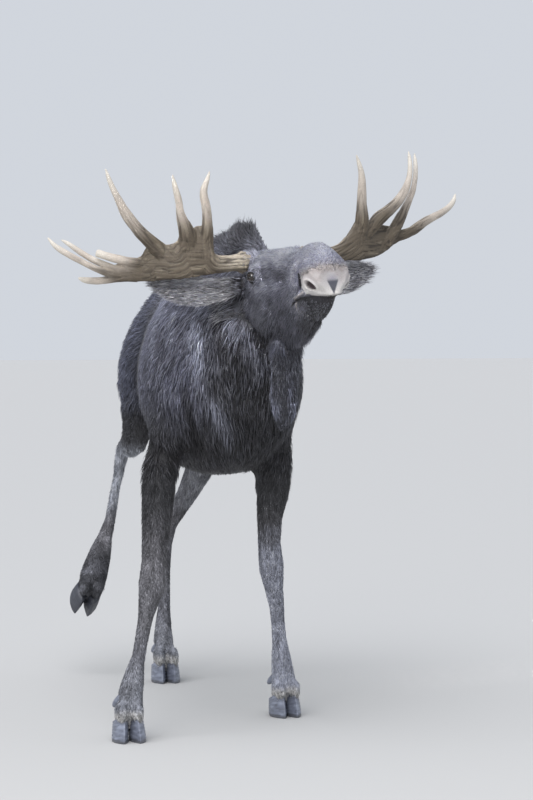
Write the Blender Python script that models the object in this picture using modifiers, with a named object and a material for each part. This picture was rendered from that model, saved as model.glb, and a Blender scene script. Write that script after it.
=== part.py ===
"""Bull moose, life size, standing with its head raised and one hind foot lifted.

Frame: metres, floor at z = 0, the animal looks along -Y, its left side is +X.
The flesh is one skin of lofted forms, parted with thin cuts where the body has names.
"""
import math

import bpy
import bmesh
import numpy as np
from mathutils import Matrix, Vector
from mathutils.bvhtree import BVHTree

# ---------------------------------------------------------------- driving sizes
GAP = 0.0003                 # clearance between neighbouring pieces
PART_CUT = 0.0004            # thickness of the cuts that part the body
FLESH_VOXEL = 0.0135         # grid used to weld the flesh forms
FLESH_TRIS = 2380            # triangles kept for the flesh

# trunk: y, centre x, top z, bottom z, half width, level of the widest part, roof narrowing
TRUNK = [
    (-0.92, 0.030, 1.46, 1.18, 0.100, 0.50, 0.30),
    (-0.85, 0.022, 1.60, 1.05, 0.200, 0.48, 0.30),
    (-0.74, 0.012, 1.70, 0.985, 0.262, 0.45, 0.32),
    (-0.60, 0.005, 1.81, 0.955, 0.308, 0.42, 0.42),
    (-0.42, 0.000, 1.865, 0.940, 0.320, 0.38, 0.50),
    (-0.22, 0.012, 1.835, 0.940, 0.312, 0.40, 0.46),
    (0.00, 0.030, 1.775, 0.955, 0.300, 0.44, 0.38),
    (0.22, 0.034, 1.745, 1.000, 0.280, 0.42, 0.36),
    (0.42, 0.018, 1.748, 1.065, 0.250, 0.36, 0.34),
    (0.62, 0.000, 1.740, 1.075, 0.276, 0.30, 0.34),
    (0.80, 0.000, 1.690, 1.110, 0.256, 0.32, 0.34),
    (0.93, 0.000, 1.610, 1.170, 0.190, 0.40, 0.34),
    (0.99, 0.000, 1.520, 1.240, 0.110, 0.45, 0.30),
    (1.01, 0.000, 1.450, 1.310, 0.050, 0.50, 0.30),
]

# head frame: origin between the antler bases
HEAD_AT = (0.125, -0.943, 1.761)
HEAD_YAW = math.radians(10.0)
HEAD_PITCH = math.radians(3.0)
HEAD_ROLL = math.radians(5.0)
# head: forward, top, bottom, half width, squareness
HEAD = [
    (-0.13, 0.000, -0.170, 0.080, 2.2),
    (-0.06, 0.035, -0.225, 0.108, 2.4),
    (0.02, 0.045, -0.265, 0.120, 2.6),
    (0.12, 0.040, -0.305, 0.118, 2.6),
    (0.20, 0.036, -0.305, 0.100, 2.5),
    (0.28, 0.031, -0.282, 0.082, 2.4),
    (0.36, 0.032, -0.255, 0.077, 2.4),
    (0.43, 0.036, -0.228, 0.084, 2.5),
    (0.50, 0.022, -0.200, 0.088, 2.6),
    (0.55, -0.020, -0.175, 0.078, 2.5),
    (0.575, -0.070, -0.150, 0.045, 2.2),
]
EYE_AT = (0.1175, 0.085, -0.052)
EYE_R = 0.020
NECK = [                     # x, y, z, half width, half height
    (0.118, -0.93, 1.640, 0.105, 0.135),
    (0.104, -0.87, 1.615, 0.130, 0.190),
    (0.078, -0.79, 1.560, 0.165, 0.270),
    (0.050, -0.69, 1.500, 0.205, 0.350),
    (0.020, -0.56, 1.440, 0.240, 0.410),
    (0.000, -0.42, 1.400, 0.260, 0.420),
]
CREST = [                    # neck mane ridge from the crown to the withers
    (0.110, -0.90, 1.705, 0.060, 0.070),
    (0.095, -0.82, 1.770, 0.060, 0.085),
    (0.078, -0.72, 1.808, 0.060, 0.095),
    (0.056, -0.60, 1.815, 0.062, 0.090),
    (0.026, -0.44, 1.800, 0.064, 0.075),
    (0.000, -0.28, 1.770, 0.060, 0.060),
]
BELL = [                     # throat bell: x, y, z, half width, half depth
    (0.150, -0.985, 1.540, 0.060, 0.060),
    (0.146, -1.035, 1.450, 0.060, 0.050),
    (0.140, -1.050, 1.360, 0.057, 0.042),
    (0.134, -1.050, 1.280, 0.054, 0.038),
    (0.130, -1.046, 1.215, 0.046, 0.033),
    (0.128, -1.043, 1.170, 0.034, 0.026),
    (0.127, -1.042, 1.145, 0.014, 0.014),
]
TAIL = [
    (0.0, 0.93, 1.56, 0.050, 0.040),
    (0.0, 1.01, 1.525, 0.044, 0.034),
    (0.0, 1.052, 1.465, 0.038, 0.028),
    (0.0, 1.072, 1.395, 0.032, 0.022),
    (0.0, 1.076, 1.340, 0.014, 0.012),
]

# legs: x, y, z, half width across, half depth fore and aft
LEG_FR = [
    (-0.17, -0.50, 1.42, 0.085, 0.150),
    (-0.205, -0.57, 1.22, 0.095, 0.150),
    (-0.235, -0.62, 1.06, 0.084, 0.115),
    (-0.258, -0.645, 0.965, 0.075, 0.088),
    (-0.268, -0.670, 0.880, 0.068, 0.072),
    (-0.280, -0.700, 0.767, 0.058, 0.060),
    (-0.294, -0.735, 0.640, 0.050, 0.052),
    (-0.304, -0.757, 0.560, 0.052, 0.058),
    (-0.316, -0.768, 0.500, 0.043, 0.050),
    (-0.330, -0.780, 0.440, 0.032, 0.038),
    (-0.350, -0.805, 0.350, 0.028, 0.034),
    (-0.366, -0.825, 0.285, 0.030, 0.037),
    (-0.382, -0.842, 0.225, 0.043, 0.047),
    (-0.394, -0.856, 0.180, 0.048, 0.048),
    (-0.401, -0.872, 0.120, 0.053, 0.046),
    (-0.404, -0.885, 0.060, 0.060, 0.052),
]
LEG_FL = [
    (0.17, -0.50, 1.42, 0.085, 0.150),
    (0.195, -0.54, 1.22, 0.095, 0.150),
    (0.195, -0.56, 1.06, 0.085, 0.115),
    (0.190, -0.555, 0.965, 0.080, 0.088),
    (0.191, -0.545, 0.880, 0.070, 0.072),
    (0.183, -0.530, 0.790, 0.056, 0.060),
    (0.184, -0.520, 0.690, 0.048, 0.052),
    (0.192, -0.512, 0.612, 0.052, 0.058),
    (0.198, -0.500, 0.555, 0.048, 0.052),
    (0.212, -0.482, 0.490, 0.036, 0.040),
    (0.226, -0.458, 0.400, 0.031, 0.035),
    (0.240, -0.432, 0.295, 0.032, 0.037),
    (0.247, -0.420, 0.235, 0.041, 0.046),
    (0.254, -0.410, 0.178, 0.047, 0.048),
    (0.262, -0.408, 0.115, 0.054, 0.046),
    (0.268, -0.410, 0.060, 0.060, 0.052),
]
LEG_HR = [
    (-0.14, 0.66, 1.44, 0.105, 0.190),
    (-0.165, 0.62, 1.24, 0.105, 0.200),
    (-0.175, 0.66, 1.10, 0.082, 0.150),
    (-0.190, 0.80, 1.02, 0.058, 0.090),
    (-0.200, 0.915, 0.995, 0.044, 0.060),
    (-0.207, 0.965, 0.955, 0.040, 0.052),
    (-0.224, 0.962, 0.865, 0.029, 0.040),
    (-0.247, 0.940, 0.764, 0.026, 0.034),
    (-0.265, 0.920, 0.670, 0.028, 0.034),
    (-0.288, 0.900, 0.600, 0.034, 0.038),
    (-0.312, 0.882, 0.530, 0.050, 0.048),
    (-0.334, 0.862, 0.465, 0.060, 0.050),
    (-0.350, 0.850, 0.410, 0.060, 0.050),
    (-0.368, 0.838, 0.350, 0.056, 0.050),
]
LEG_HL = [
    (0.13, 0.64, 1.44, 0.105, 0.190),
    (0.145, 0.54, 1.24, 0.105, 0.200),
    (0.120, 0.50, 1.08, 0.085, 0.150),
    (0.075, 0.535, 0.920, 0.062, 0.095),
    (0.020, 0.620, 0.780, 0.044, 0.062),
    (-0.025, 0.685, 0.690, 0.040, 0.056),
    (-0.050, 0.690, 0.620, 0.036, 0.048),
    (-0.058, 0.680, 0.540, 0.030, 0.038),
    (-0.062, 0.665, 0.420, 0.027, 0.034),
    (-0.067, 0.648, 0.310, 0.029, 0.034),
    (-0.072, 0.628, 0.240, 0.038, 0.043),
    (-0.075, 0.610, 0.185, 0.044, 0.046),
    (-0.074, 0.590, 0.120, 0.051, 0.044),
    (-0.072, 0.572, 0.060, 0.056, 0.050),
]

# feet: coronet centre, heading (degrees from -Y towards +X), plane tilt, down pitch
FEET = {
    "fore_right": dict(at=(-0.407, -0.885, 0.078), head=4.0, pitch=0.0, lean=0.0, spread=0.010),
    "fore_left": dict(at=(0.263, -0.412, 0.078), head=10.0, pitch=0.0, lean=0.0, spread=0.002),
    "hind_left": dict(at=(-0.072, 0.570, 0.078), head=4.0, pitch=0.0, lean=0.0, spread=0.004),
    "hind_right": dict(at=(-0.371, 0.836, 0.352), head=4.0, pitch=66.0, lean=-15.0, spread=-0.004,
                       dew=dict(at=(-0.347, 0.846, 0.395), head=4.0, pitch=0.0, lean=-12.0)),
}
TOE_LEN = 0.136
TOE_WIDE = 0.060
CORONET_TILT = math.radians(24.0)
TOE_SPLIT = 0.006


def clear():
    for o in list(bpy.data.objects):
        bpy.data.objects.remove(o, do_unlink=True)


clear()
MODEL = bpy.data.collections.new("moose")
GUIDES = bpy.data.collections.new("moose_cutters")
bpy.context.scene.collection.children.link(MODEL)
bpy.context.scene.collection.children.link(GUIDES)


# ---------------------------------------------------------------- helpers
def spline(rows, per):
    """Catmull-Rom through the rows, `per` steps between neighbours."""
    p = np.array(rows, float)
    ext = np.vstack([2 * p[0] - p[1], p, 2 * p[-1] - p[-2]])
    out = []
    for i in range(1, len(ext) - 2):
        a, b, c, d = ext[i - 1], ext[i], ext[i + 1], ext[i + 2]
        for k in range(per):
            t = k / per
            out.append(0.5 * (2 * b + (c - a) * t + (2 * a - 5 * b + 4 * c - d) * t * t
                              + (3 * b - a - 3 * c + d) * t ** 3))
    out.append(ext[-2])
    return np.array(out)


def skin_rings(name, rings, coll=None):
    """A closed skin over equal rings of points."""
    n = len(rings[0])
    verts = [tuple(v) for r in rings for v in r]
    faces = []
    for i in range(len(rings) - 1):
        for j in range(n):
            k = (j + 1) % n
            faces.append((i * n + j, i * n + k, (i + 1) * n + k, (i + 1) * n + j))
    faces.append(tuple(range(n - 1, -1, -1)))
    faces.append(tuple((len(rings) - 1) * n + j for j in range(n)))
    me = bpy.data.meshes.new(name)
    me.from_pydata(verts, [], faces)
    bm = bmesh.new()
    bm.from_mesh(me)
    bmesh.ops.triangulate(bm, faces=bm.faces, quad_method="FIXED", ngon_method="EAR_CLIP")
    bmesh.ops.recalc_face_normals(bm, faces=bm.faces)
    bm.to_mesh(me)
    bm.free()
    ob = bpy.data.objects.new(name, me)
    (coll or GUIDES).objects.link(ob)
    return ob


def oval(u, v, a, b, n, power=2.0):
    pts = []
    for j in range(n):
        t = 2 * math.pi * (j + 0.5) / n
        c, s = math.cos(t), math.sin(t)
        e = 2.0 / power
        pts.append(a * math.copysign(abs(c) ** e, c) * u + b * math.copysign(abs(s) ** e, s) * v)
    return pts


def limb(name, rows, n=16, per=3, side=(1, 0, 0), power=2.0):
    """Loft along a path; columns 4 and 5 are the half sizes along `side` and across it."""
    q = spline(rows, per)
    side = np.array(side, float)
    rings = []
    for i, row in enumerate(q):
        a = q[max(0, i - 1)][:3]
        b = q[min(len(q) - 1, i + 1)][:3]
        t = (b - a) / np.linalg.norm(b - a)
        u = side - t * (side @ t)
        u /= np.linalg.norm(u)
        v = np.cross(t, u)
        rings.append([row[:3] + p for p in oval(u, v, row[3], row[4], n, power)])
    return skin_rings(name, rings)


def trunk():
    rings = []
    for y, cx, top, bot, hw, lev, roof in spline(TRUNK, 3):
        ring = []
        mid = bot + (top - bot) * lev
        for j in range(28):
            t = 2 * math.pi * j / 28
            c, s = math.cos(t), math.sin(t)
            z = mid + s * ((top - mid) if s > 0 else (mid - bot))
            narrow = 1.0 - (roof * max(0.0, s) ** 2 + 0.10 * max(0.0, -s) ** 2)
            ring.append((cx + hw * narrow * math.copysign(abs(c) ** 0.86, c), y, z))
        rings.append(ring)
    return skin_rings("trunk_form", rings)


def head_axes():
    cy, sy = math.cos(HEAD_YAW), math.sin(HEAD_YAW)
    cp, sp = math.cos(HEAD_PITCH), math.sin(HEAD_PITCH)
    f = np.array([sy * cp, -cy * cp, sp])
    left = np.array([cy, sy, 0.0])
    up = np.cross(left, f)
    up = up if up[2] > 0 else -up
    cr, sr = math.cos(HEAD_ROLL), math.sin(HEAD_ROLL)
    return left * cr + up * sr, f, up * cr - left * sr


HL_AX, HF_AX, HU_AX = head_axes()
HEAD_O = np.array(HEAD_AT)


def hp(l, f, u):
    """Head coordinates (left, forward, up) to the shared frame."""
    return HEAD_O + HL_AX * l + HF_AX * f + HU_AX * u


def head_form():
    rings = []
    for f, top, bot, hw, pw in spline(HEAD, 3):
        ring = []
        mid = (top + bot) / 2 + 0.02
        for j in range(24):
            t = 2 * math.pi * j / 24
            c, s = math.cos(t), math.sin(t)
            e = 2.0 / pw
            x = hw * math.copysign(abs(c) ** e, c)
            h = (top - mid) if s > 0 else (mid - bot)
            z = mid + h * math.copysign(abs(s) ** e, s)
            x *= 1.0 - 0.42 * max(0.0, -s) ** 1.5
            ring.append(tuple(hp(x, f, z)))
        rings.append(ring)
    return skin_rings("head_form", rings)


def ball(name, at, r, squash=(1, 1, 1), seg=12):
    bm = bmesh.new()
    bmesh.ops.create_uvsphere(bm, u_segments=seg, v_segments=seg // 2, radius=r)
    me = bpy.data.meshes.new(name)
    for v in bm.verts:
        c = v.co
        w = HL_AX * c.x * squash[0] + HF_AX * c.y * squash[1] + HU_AX * c.z * squash[2]
        v.co = Vector(np.array(at) + w)
    bm.normal_update()
    bmesh.ops.recalc_face_normals(bm, faces=bm.faces)
    bm.to_mesh(me)
    bm.free()
    ob = bpy.data.objects.new(name, me)
    GUIDES.objects.link(ob)
    return ob


def merged(name, obs):
    """Objects' meshes side by side in one mesh."""
    bm = bmesh.new()
    for o in obs:
        bm.from_mesh(o.data)
    me = bpy.data.meshes.new(name)
    bm.to_mesh(me)
    bm.free()
    ob = bpy.data.objects.new(name, me)
    GUIDES.objects.link(ob)
    return ob


def bake(ob, mods):
    """Apply modifiers given as (type, settings) and keep the result as the mesh."""
    for kind, cfg in mods:
        m = ob.modifiers.new(kind.lower(), kind)
        for k, v in cfg.items():
            setattr(m, k, v)
    dg = bpy.context.evaluated_depsgraph_get()
    dg.update()
    me = bpy.data.meshes.new_from_object(ob.evaluated_get(dg))
    ob.modifiers.clear()
    ob.data = me
    return ob


def boole(ob, cutter, op="DIFFERENCE"):
    return bake(ob, [("BOOLEAN", dict(operation=op, object=cutter, solver="EXACT"))])


def slab(at, normal, size, thick=PART_CUT):
    """A thin square cutter through a point."""
    n = Vector(normal).normalized()
    ob = skin_rings("slab", [[(-1, -1, 0), (1, -1, 0), (1, 1, 0), (-1, 1, 0)],
                             [(-1, -1, 1), (1, -1, 1), (1, 1, 1), (-1, 1, 1)]])
    rot = n.to_track_quat("Z", "Y").to_matrix().to_4x4()
    m = Matrix.Translation(Vector(at)) @ rot @ Matrix.Diagonal((size, size, thick, 1))
    ob.data.transform(m)
    return ob


def islands(ob):
    """Split a mesh object into its loose shells."""
    bm = bmesh.new()
    bm.from_mesh(ob.data)
    left = set(bm.verts)
    shells = []
    while left:
        seed = min(left, key=lambda v: v.index)
        stack = [seed]
        got = {seed}
        while stack:
            v = stack.pop()
            for e in v.link_edges:
                w = e.other_vert(v)
                if w not in got:
                    got.add(w)
                    stack.append(w)
        left -= got
        shells.append(sorted(v.index for v in got))
    bm.verts.ensure_lookup_table()
    out = []
    for idx in shells:
        keep = {k: i for i, k in enumerate(idx)}
        verts = [tuple(bm.verts[k].co) for k in idx]
        faces = [tuple(keep[v.index] for v in f.verts) for f in bm.faces if f.verts[0].index in keep]
        me = bpy.data.meshes.new("shell")
        me.from_pydata(verts, [], faces)
        out.append(me)
    bm.free()
    return out


# ---------------------------------------------------------------- flesh
forms = [trunk(), head_form()]
forms.append(limb("neck_form", NECK, n=20))
forms.append(limb("crest_form", CREST, n=12))
forms.append(limb("bell_form", BELL, n=12, side=(1, 0, 0)))
forms.append(limb("tail_form", TAIL, n=10, side=(1, 0, 0)))
for nm, rows in (("fr", LEG_FR), ("fl", LEG_FL), ("hr", LEG_HR), ("hl", LEG_HL)):
    forms.append(limb("leg_" + nm, rows, n=16, side=(1, 0, 0)))
for sgn in (1, -1):
    forms.append(ball("brow", hp(sgn * 0.085, 0.115, -0.040), 0.042, (1, 1.1, 0.9)))
    forms.append(limb("pedicle", [tuple(hp(sgn * 0.05, 0.0, -0.005)) + (0.050, 0.050),
                                  tuple(hp(sgn * 0.085, 0.0, 0.003)) + (0.044, 0.044),
                                  tuple(hp(sgn * 0.118, 0.0, 0.008)) + (0.036, 0.036)],
                      n=12, side=(0, 0, 1)))
flesh = merged("flesh", forms)
bake(flesh, [("REMESH", dict(mode="VOXEL", voxel_size=FLESH_VOXEL)),
             ("SMOOTH", dict(factor=0.5, iterations=4))])
print("flesh faces", len(flesh.data.polygons))

bake(flesh, [("DECIMATE", dict(ratio=FLESH_TRIS / (2.0 * len(flesh.data.polygons)),
                               use_collapse_triangulate=True))])

# ---------------------------------------------------------------- ears
EARS = {                     # root, belly of the curve, tip, height of the leaf
    1: ((0.108, -0.030, -0.072), (0.250, -0.010, -0.110), (0.408, -0.055, -0.080), 1.00),
    -1: ((-0.108, -0.030, -0.072), (-0.290, -0.050, -0.118), (-0.410, -0.110, -0.036), 0.90),
}


def ear(sgn, grow=0.0, stub=False):
    """A cupped leaf standing on a round stub that enters the head."""
    p0, p1, p2 = (hp(*v) for v in EARS[sgn][:3])
    steps = 8
    width = [0.030, 0.033, 0.043, 0.053, 0.055, 0.050, 0.038, 0.021, 0.006]
    cup = [0.000, 0.012, 0.024, 0.026, 0.025, 0.021, 0.014, 0.006, 0.001]
    half = [0.026, 0.022, 0.011, 0.008, 0.007, 0.007, 0.006, 0.005, 0.004]
    rings = []
    last = 1 if stub else steps
    for i in range(last + 1):
        t = i / steps
        p = p0 * (1 - t) ** 2 + p1 * 2 * t * (1 - t) + p2 * t * t
        d = (p1 - p0) * (1 - t) + (p2 - p1) * t
        d = d / np.linalg.norm(d)
        wide = HU_AX * 0.95 + HF_AX * 0.30
        wide = wide - d * (wide @ d)
        wide /= np.linalg.norm(wide)
        face = np.cross(d, wide)
        face = face if face @ HF_AX > 0 else -face
        w, c, h = width[i] * EARS[sgn][3] + grow, cup[i], half[i] + grow
        ring = []
        for k in range(5):
            a = -1 + 2 * k / 4
            ring.append(p + wide * w * a + face * (c * a * a - c * 0.5 + h * math.sqrt(1.0 - 0.9 * a * a)))
        for k in range(5):
            a = 1 - 2 * k / 4
            ring.append(p + wide * w * a + face * (c * a * a - c * 0.5 - h * math.sqrt(1.0 - 0.9 * a * a)))
        rings.append(ring)
    if stub or grow:
        d = (p1 - p0) / np.linalg.norm(p1 - p0)
        rings[0] = [v - d * grow for v in rings[0]]
    return skin_rings("ear", rings)


# ---------------------------------------------------------------- antlers
# palm: left, forward, top, bottom, half thickness (mirrored for the other side)
PALM_R = [
    (-0.102, 0.000, 0.042, -0.026, 0.034),
    (-0.122, 0.000, 0.042, -0.026, 0.034),
    (-0.150, -0.002, 0.037, -0.020, 0.028),
    (-0.190, -0.005, 0.039, -0.020, 0.026),
    (-0.235, -0.008, 0.055, -0.020, 0.023),
    (-0.290, -0.010, 0.118, -0.026, 0.019),
    (-0.335, -0.012, 0.118, -0.032, 0.017),
    (-0.395, -0.025, 0.098, -0.036, 0.016),
    (-0.450, -0.055, 0.090, -0.036, 0.016),
    (-0.510, -0.090, 0.062, -0.034, 0.015),
    (-0.560, -0.122, 0.048, -0.028, 0.013),
    (-0.585, -0.138, 0.030, -0.016, 0.010),
]
PALM_L = [
    (0.102, 0.000, 0.042, -0.026, 0.034),
    (0.122, 0.000, 0.042, -0.026, 0.034),
    (0.150, -0.002, 0.036, -0.022, 0.028),
    (0.200, -0.004, 0.036, -0.024, 0.026),
    (0.250, -0.008, 0.040, -0.030, 0.024),
    (0.300, -0.014, 0.066, -0.032, 0.020),
    (0.345, -0.024, 0.112, -0.028, 0.018),
    (0.395, -0.044, 0.122, -0.020, 0.017),
    (0.445, -0.070, 0.116, -0.004, 0.016),
    (0.500, -0.096, 0.104, 0.016, 0.015),
    (0.550, -0.116, 0.094, 0.034, 0.014),
    (0.585, -0.130, 0.080, 0.052, 0.010),
]
# tines: root, bend, tip (left, forward, up), root half width, root half thickness, tip radius
TINES_R = {
    "tine_right_1": ((-0.252, 0.002, 0.050), (-0.292, 0.045, 0.235), (-0.230, 0.040, 0.345),
                     0.034, 0.018, 0.004),
    "tine_right_2": ((-0.318, 0.002, 0.065), (-0.362, 0.050, 0.215), (-0.364, 0.030, 0.344),
                     0.034, 0.018, 0.004),
    "tine_right_3": ((-0.405, -0.030, 0.045), (-0.560, 0.000, 0.165), (-0.587, -0.060, 0.391),
                     0.036, 0.017, 0.004),
    "tine_right_4": ((-0.485, -0.075, 0.050), (-0.560, -0.105, 0.066), (-0.624, -0.150, 0.094),
                     0.020, 0.015, 0.011),
    "tine_right_5": ((-0.535, -0.105, 0.020), (-0.620, -0.200, 0.080), (-0.711, -0.300, 0.161),
                     0.018, 0.014, 0.004),
    "tine_right_6": ((-0.540, -0.108, 0.000), (-0.680, -0.190, 0.062), (-0.769, -0.280, 0.172),
                     0.020, 0.015, 0.004),
    "tine_right_7": ((-0.540, -0.108, -0.014), (-0.610, -0.185, -0.018), (-0.669, -0.260, 0.015),
                     0.017, 0.014, 0.004),
}
TINES_L = {
    "tine_left_1": ((0.350, -0.025, 0.050), (0.378, 0.020, 0.220), (0.366, 0.000, 0.370),
                    0.032, 0.018, 0.004),
    "tine_left_2": ((0.405, -0.050, 0.085), (0.600, -0.080, 0.190), (0.648, -0.160, 0.379),
                    0.028, 0.016, 0.004),
    "tine_left_3": ((0.480, -0.092, 0.070), (0.660, -0.130, 0.190), (0.698, -0.220, 0.375),
                    0.024, 0.015, 0.004),
    "tine_left_4": ((0.520, -0.108, 0.068), (0.740, -0.200, 0.090), (0.883, -0.280, 0.213),
                    0.022, 0.015, 0.004),
}


def palm(name, rows):
    q = spline(rows, 1)
    rings = []
    for i, (lx, fw, top, bot, th) in enumerate(q):
        a = q[max(0, i - 1)]
        b = q[min(len(q) - 1, i + 1)]
        t = np.array([b[0] - a[0], b[1] - a[1]])
        t /= np.linalg.norm(t)
        ring = []
        for j in range(12):
            w = 2 * math.pi * (j + 0.5) / 12
            c, s = math.cos(w), math.sin(w)
            off = th * c
            up = (top + bot) / 2 + (top - bot) / 2 * s
            ring.append(tuple(hp(lx - t[1] * off, fw + t[0] * off, up)))
        rings.append(ring)
    return skin_rings(name, rings)


def along(root, bend, tip, wide, thick, end, t):
    """Centre, direction and half sizes of a tine at share t of its length."""
    p0, p1, p2 = (hp(*v) for v in (root, bend, tip))
    p = p0 * (1 - t) ** 2 + p1 * 2 * t * (1 - t) + p2 * t * t
    d = (p1 - p0) * (1 - t) + (p2 - p1) * t
    k = (1 - t) ** 0.8
    m = 0.62 * (1 - t) ** 0.55 + 0.38 * k
    return p, d / np.linalg.norm(d), end + (wide - end) * (0.45 * k ** 3 + 0.55 * m), end + (thick - end) * m


def tine(name, spec, steps=6, n=7):
    """A curved horn: flattened at the root, round at the tip."""
    rings = []
    for i in range(steps + 1):
        p, d, a, b = along(*spec, i / steps)
        v = HF_AX - d * (HF_AX @ d)
        v /= np.linalg.norm(v)
        u = np.cross(d, v)
        rings.append([p + r for r in oval(u, v, a, b, n)])
    return skin_rings(name, rings)


# ---------------------------------------------------------------- feet
def foot_frame(spec):
    h = math.radians(spec["head"])
    fwd = Vector((math.sin(h), -math.cos(h), 0.0))
    side = Vector((math.cos(h), math.sin(h), 0.0))
    m = Matrix((fwd, side, Vector((0, 0, 1)))).transposed().to_4x4()
    tip = Matrix.Rotation(math.radians(spec["pitch"]), 4, side)
    lean = Matrix.Rotation(math.radians(spec["lean"]), 4, fwd)
    return Matrix.Translation(Vector(spec["at"])) @ lean @ tip @ m


FOOT_DROP = 0.078            # from the coronet centre down to the sole


def toe(name, spec, sgn):
    """One of the two hooves: pointed in front, flat underneath."""
    m = foot_frame(spec)
    rings = []
    cols = ((0.0, 1.00, 0.000), (0.12, 1.00, -0.002), (0.5, 0.89, -0.011), (1.0, 0.74, -0.024))
    for t, size, back in cols:
        ring = []
        for j in range(12):
            w = 2 * math.pi * j / 12
            c, s = math.cos(w), math.sin(w)
            x = (0.5 + 0.5 * c)
            half = (0.30 + 0.78 * math.sin(math.pi * min(1.0, 0.22 + 0.78 * (1 - x) ** 0.75)))
            x = (x - 0.5) * TOE_LEN * size + back + 0.012
            y = 0.5 * TOE_WIDE * size * half * s * 0.92
            y = sgn * (TOE_SPLIT / 2 + 0.5 * TOE_WIDE * size) + y * 0.94
            y += sgn * spec["spread"] * (1 - t) * (0.4 + x / TOE_LEN)
            top = x * math.tan(CORONET_TILT) * 0.9 - GAP
            z = -FOOT_DROP + (FOOT_DROP + top) * t
            ring.append(tuple(m @ Vector((x, y, z))))
        rings.append(ring)
    return skin_rings(name, rings)


def coronet_block(spec):
    """Everything below the coronet plane, to trim the leg."""
    m = foot_frame(spec)
    a = math.atan(math.tan(CORONET_TILT) * 0.9)
    rot = Matrix.Rotation(-a, 4, Vector((0, 1, 0)))
    ob = skin_rings("block", [[(-1, -1, -1), (1, -1, -1), (1, 1, -1), (-1, 1, -1)],
                              [(-1, -1, 0), (1, -1, 0), (1, 1, 0), (-1, 1, 0)]])
    ob.data.transform(m @ rot @ Matrix.Diagonal((0.14, 0.12, 0.14, 1)))
    return ob


def dewclaw(name, spec, sgn, grow=0.0):
    m = foot_frame(spec.get("dew", spec))
    base = Vector((-0.022, sgn * 0.026, 0.082))
    end = Vector((-0.072, sgn * 0.044, 0.040))
    d = (end - base).normalized()
    v = Vector((0, 1, 0)).cross(d).normalized()
    u = d.cross(v)
    rings = []
    for t, r in ((0.0, 0.014), (0.6, 0.015), (1.0, 0.006)):
        p = base + (end - base) * t - (d * grow if t == 0 else Vector())
        ring = []
        for j in range(7):
            w = 2 * math.pi * j / 7
            ring.append(tuple(m @ (p + (u * math.cos(w) + v * math.sin(w)) * (r + grow))))
        rings.append(ring)
    return skin_rings(name, rings)


# ---------------------------------------------------------------- assemble
PIECES = {}


def keep(name, ob):
    ob.name = name
    ob.data.name = name
    PIECES[name] = ob


for side, sgn in (("left", 1), ("right", -1)):
    keep("eye_" + side, ball("eye", hp(sgn * EYE_AT[0], EYE_AT[1], EYE_AT[2]), EYE_R))
    boole(flesh, ball("eye_cut", hp(sgn * EYE_AT[0], EYE_AT[1], EYE_AT[2]), EYE_R + GAP))
    keep("ear_" + side, ear(sgn))
    boole(flesh, ear(sgn, grow=2.5 * GAP))

TINE_CUT = {"tine_right_1": 0.36, "tine_right_2": 0.34, "tine_right_3": 0.34, "tine_right_4": 0.50,
            "tine_right_5": 0.34, "tine_right_6": 0.42, "tine_right_7": 0.36,
            "tine_left_1": 0.34, "tine_left_2": 0.42, "tine_left_3": 0.42, "tine_left_4": 0.34}
for side, rows, tines in (("right", PALM_R, TINES_R), ("left", PALM_L, TINES_L)):
    antler = palm("antler_" + side, rows)
    grown = [(a, f, t + GAP, b - GAP, h + GAP) for a, f, t, b, h in rows[:6]]
    grown[0] = (rows[0][0] * (1 - GAP / 0.1),) + grown[0][1:]
    boole(flesh, palm("palm_cut", grown))
    for nm, spec in tines.items():
        boole(antler, tine(nm, spec), "UNION")
    for nm, spec in tines.items():
        p, d, a, b = along(*spec, TINE_CUT[nm])
        boole(antler, slab(p, d, 1.5 * max(a, b)))
    mids = {nm: along(*spec, 0.68)[0] for nm, spec in tines.items()}
    mids["palm"] = hp(rows[6][0], rows[6][1], 0.04)
    for me in islands(antler):
        c = np.mean([v.co for v in me.vertices], axis=0)
        best = min(mids, key=lambda n: float(np.linalg.norm(mids[n] - c)))
        ob = bpy.data.objects.new(best, me)
        GUIDES.objects.link(ob)
        best = "antler_" + (side + "_palm" if best == "palm" else best)
        print("shell", best, len(me.polygons))
        keep(best if best not in PIECES else best + "_x", ob)

for leg, spec in FEET.items():
    boole(flesh, coronet_block(spec))
    for side, sgn in (("left", 1), ("right", -1)):
        keep("hoof_" + leg + "_" + side, toe("toe", spec, sgn))
        keep("dewclaw_" + leg + "_" + side, dewclaw("dew", spec, sgn))
        boole(flesh, dewclaw("dew_cut", spec, sgn, grow=GAP))


# ---------------------------------------------------------------- part the flesh
def leg_cut(rows, k, size):
    a, b = np.array(rows[k - 1][:3]), np.array(rows[k + 1][:3])
    return slab(rows[k][:3], b - a, size)


FLESH_NAMES = {
    "head": (0.17, -1.12, 1.66),
    "neck": (0.08, -0.82, 1.58),
    "forequarter": (0.02, -0.55, 1.30),
    "barrel": (0.00, 0.04, 1.34),
    "hindquarter": (-0.02, 0.62, 1.34),
    "bell": (0.13, -1.05, 1.28),
    "tail": (0.00, 1.06, 1.42),
    "foreleg_right_upper": (-0.28, -0.70, 0.76),
    "foreleg_right_cannon": (-0.35, -0.80, 0.36),
    "foreleg_right_pastern": (-0.40, -0.86, 0.15),
    "foreleg_left_upper": (0.19, -0.54, 0.78),
    "foreleg_left_cannon": (0.22, -0.46, 0.41),
    "foreleg_left_pastern": (0.26, -0.40, 0.16),
    "hindleg_right_gaskin": (-0.20, 0.90, 0.97),
    "hindleg_right_cannon": (-0.27, 0.92, 0.69),
    "hindleg_right_pastern": (-0.34, 0.85, 0.44),
    "hindleg_left_gaskin": (0.02, 0.61, 0.79),
    "hindleg_left_cannon": (-0.06, 0.66, 0.42),
    "hindleg_left_pastern": (-0.07, 0.60, 0.15),
}
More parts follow.
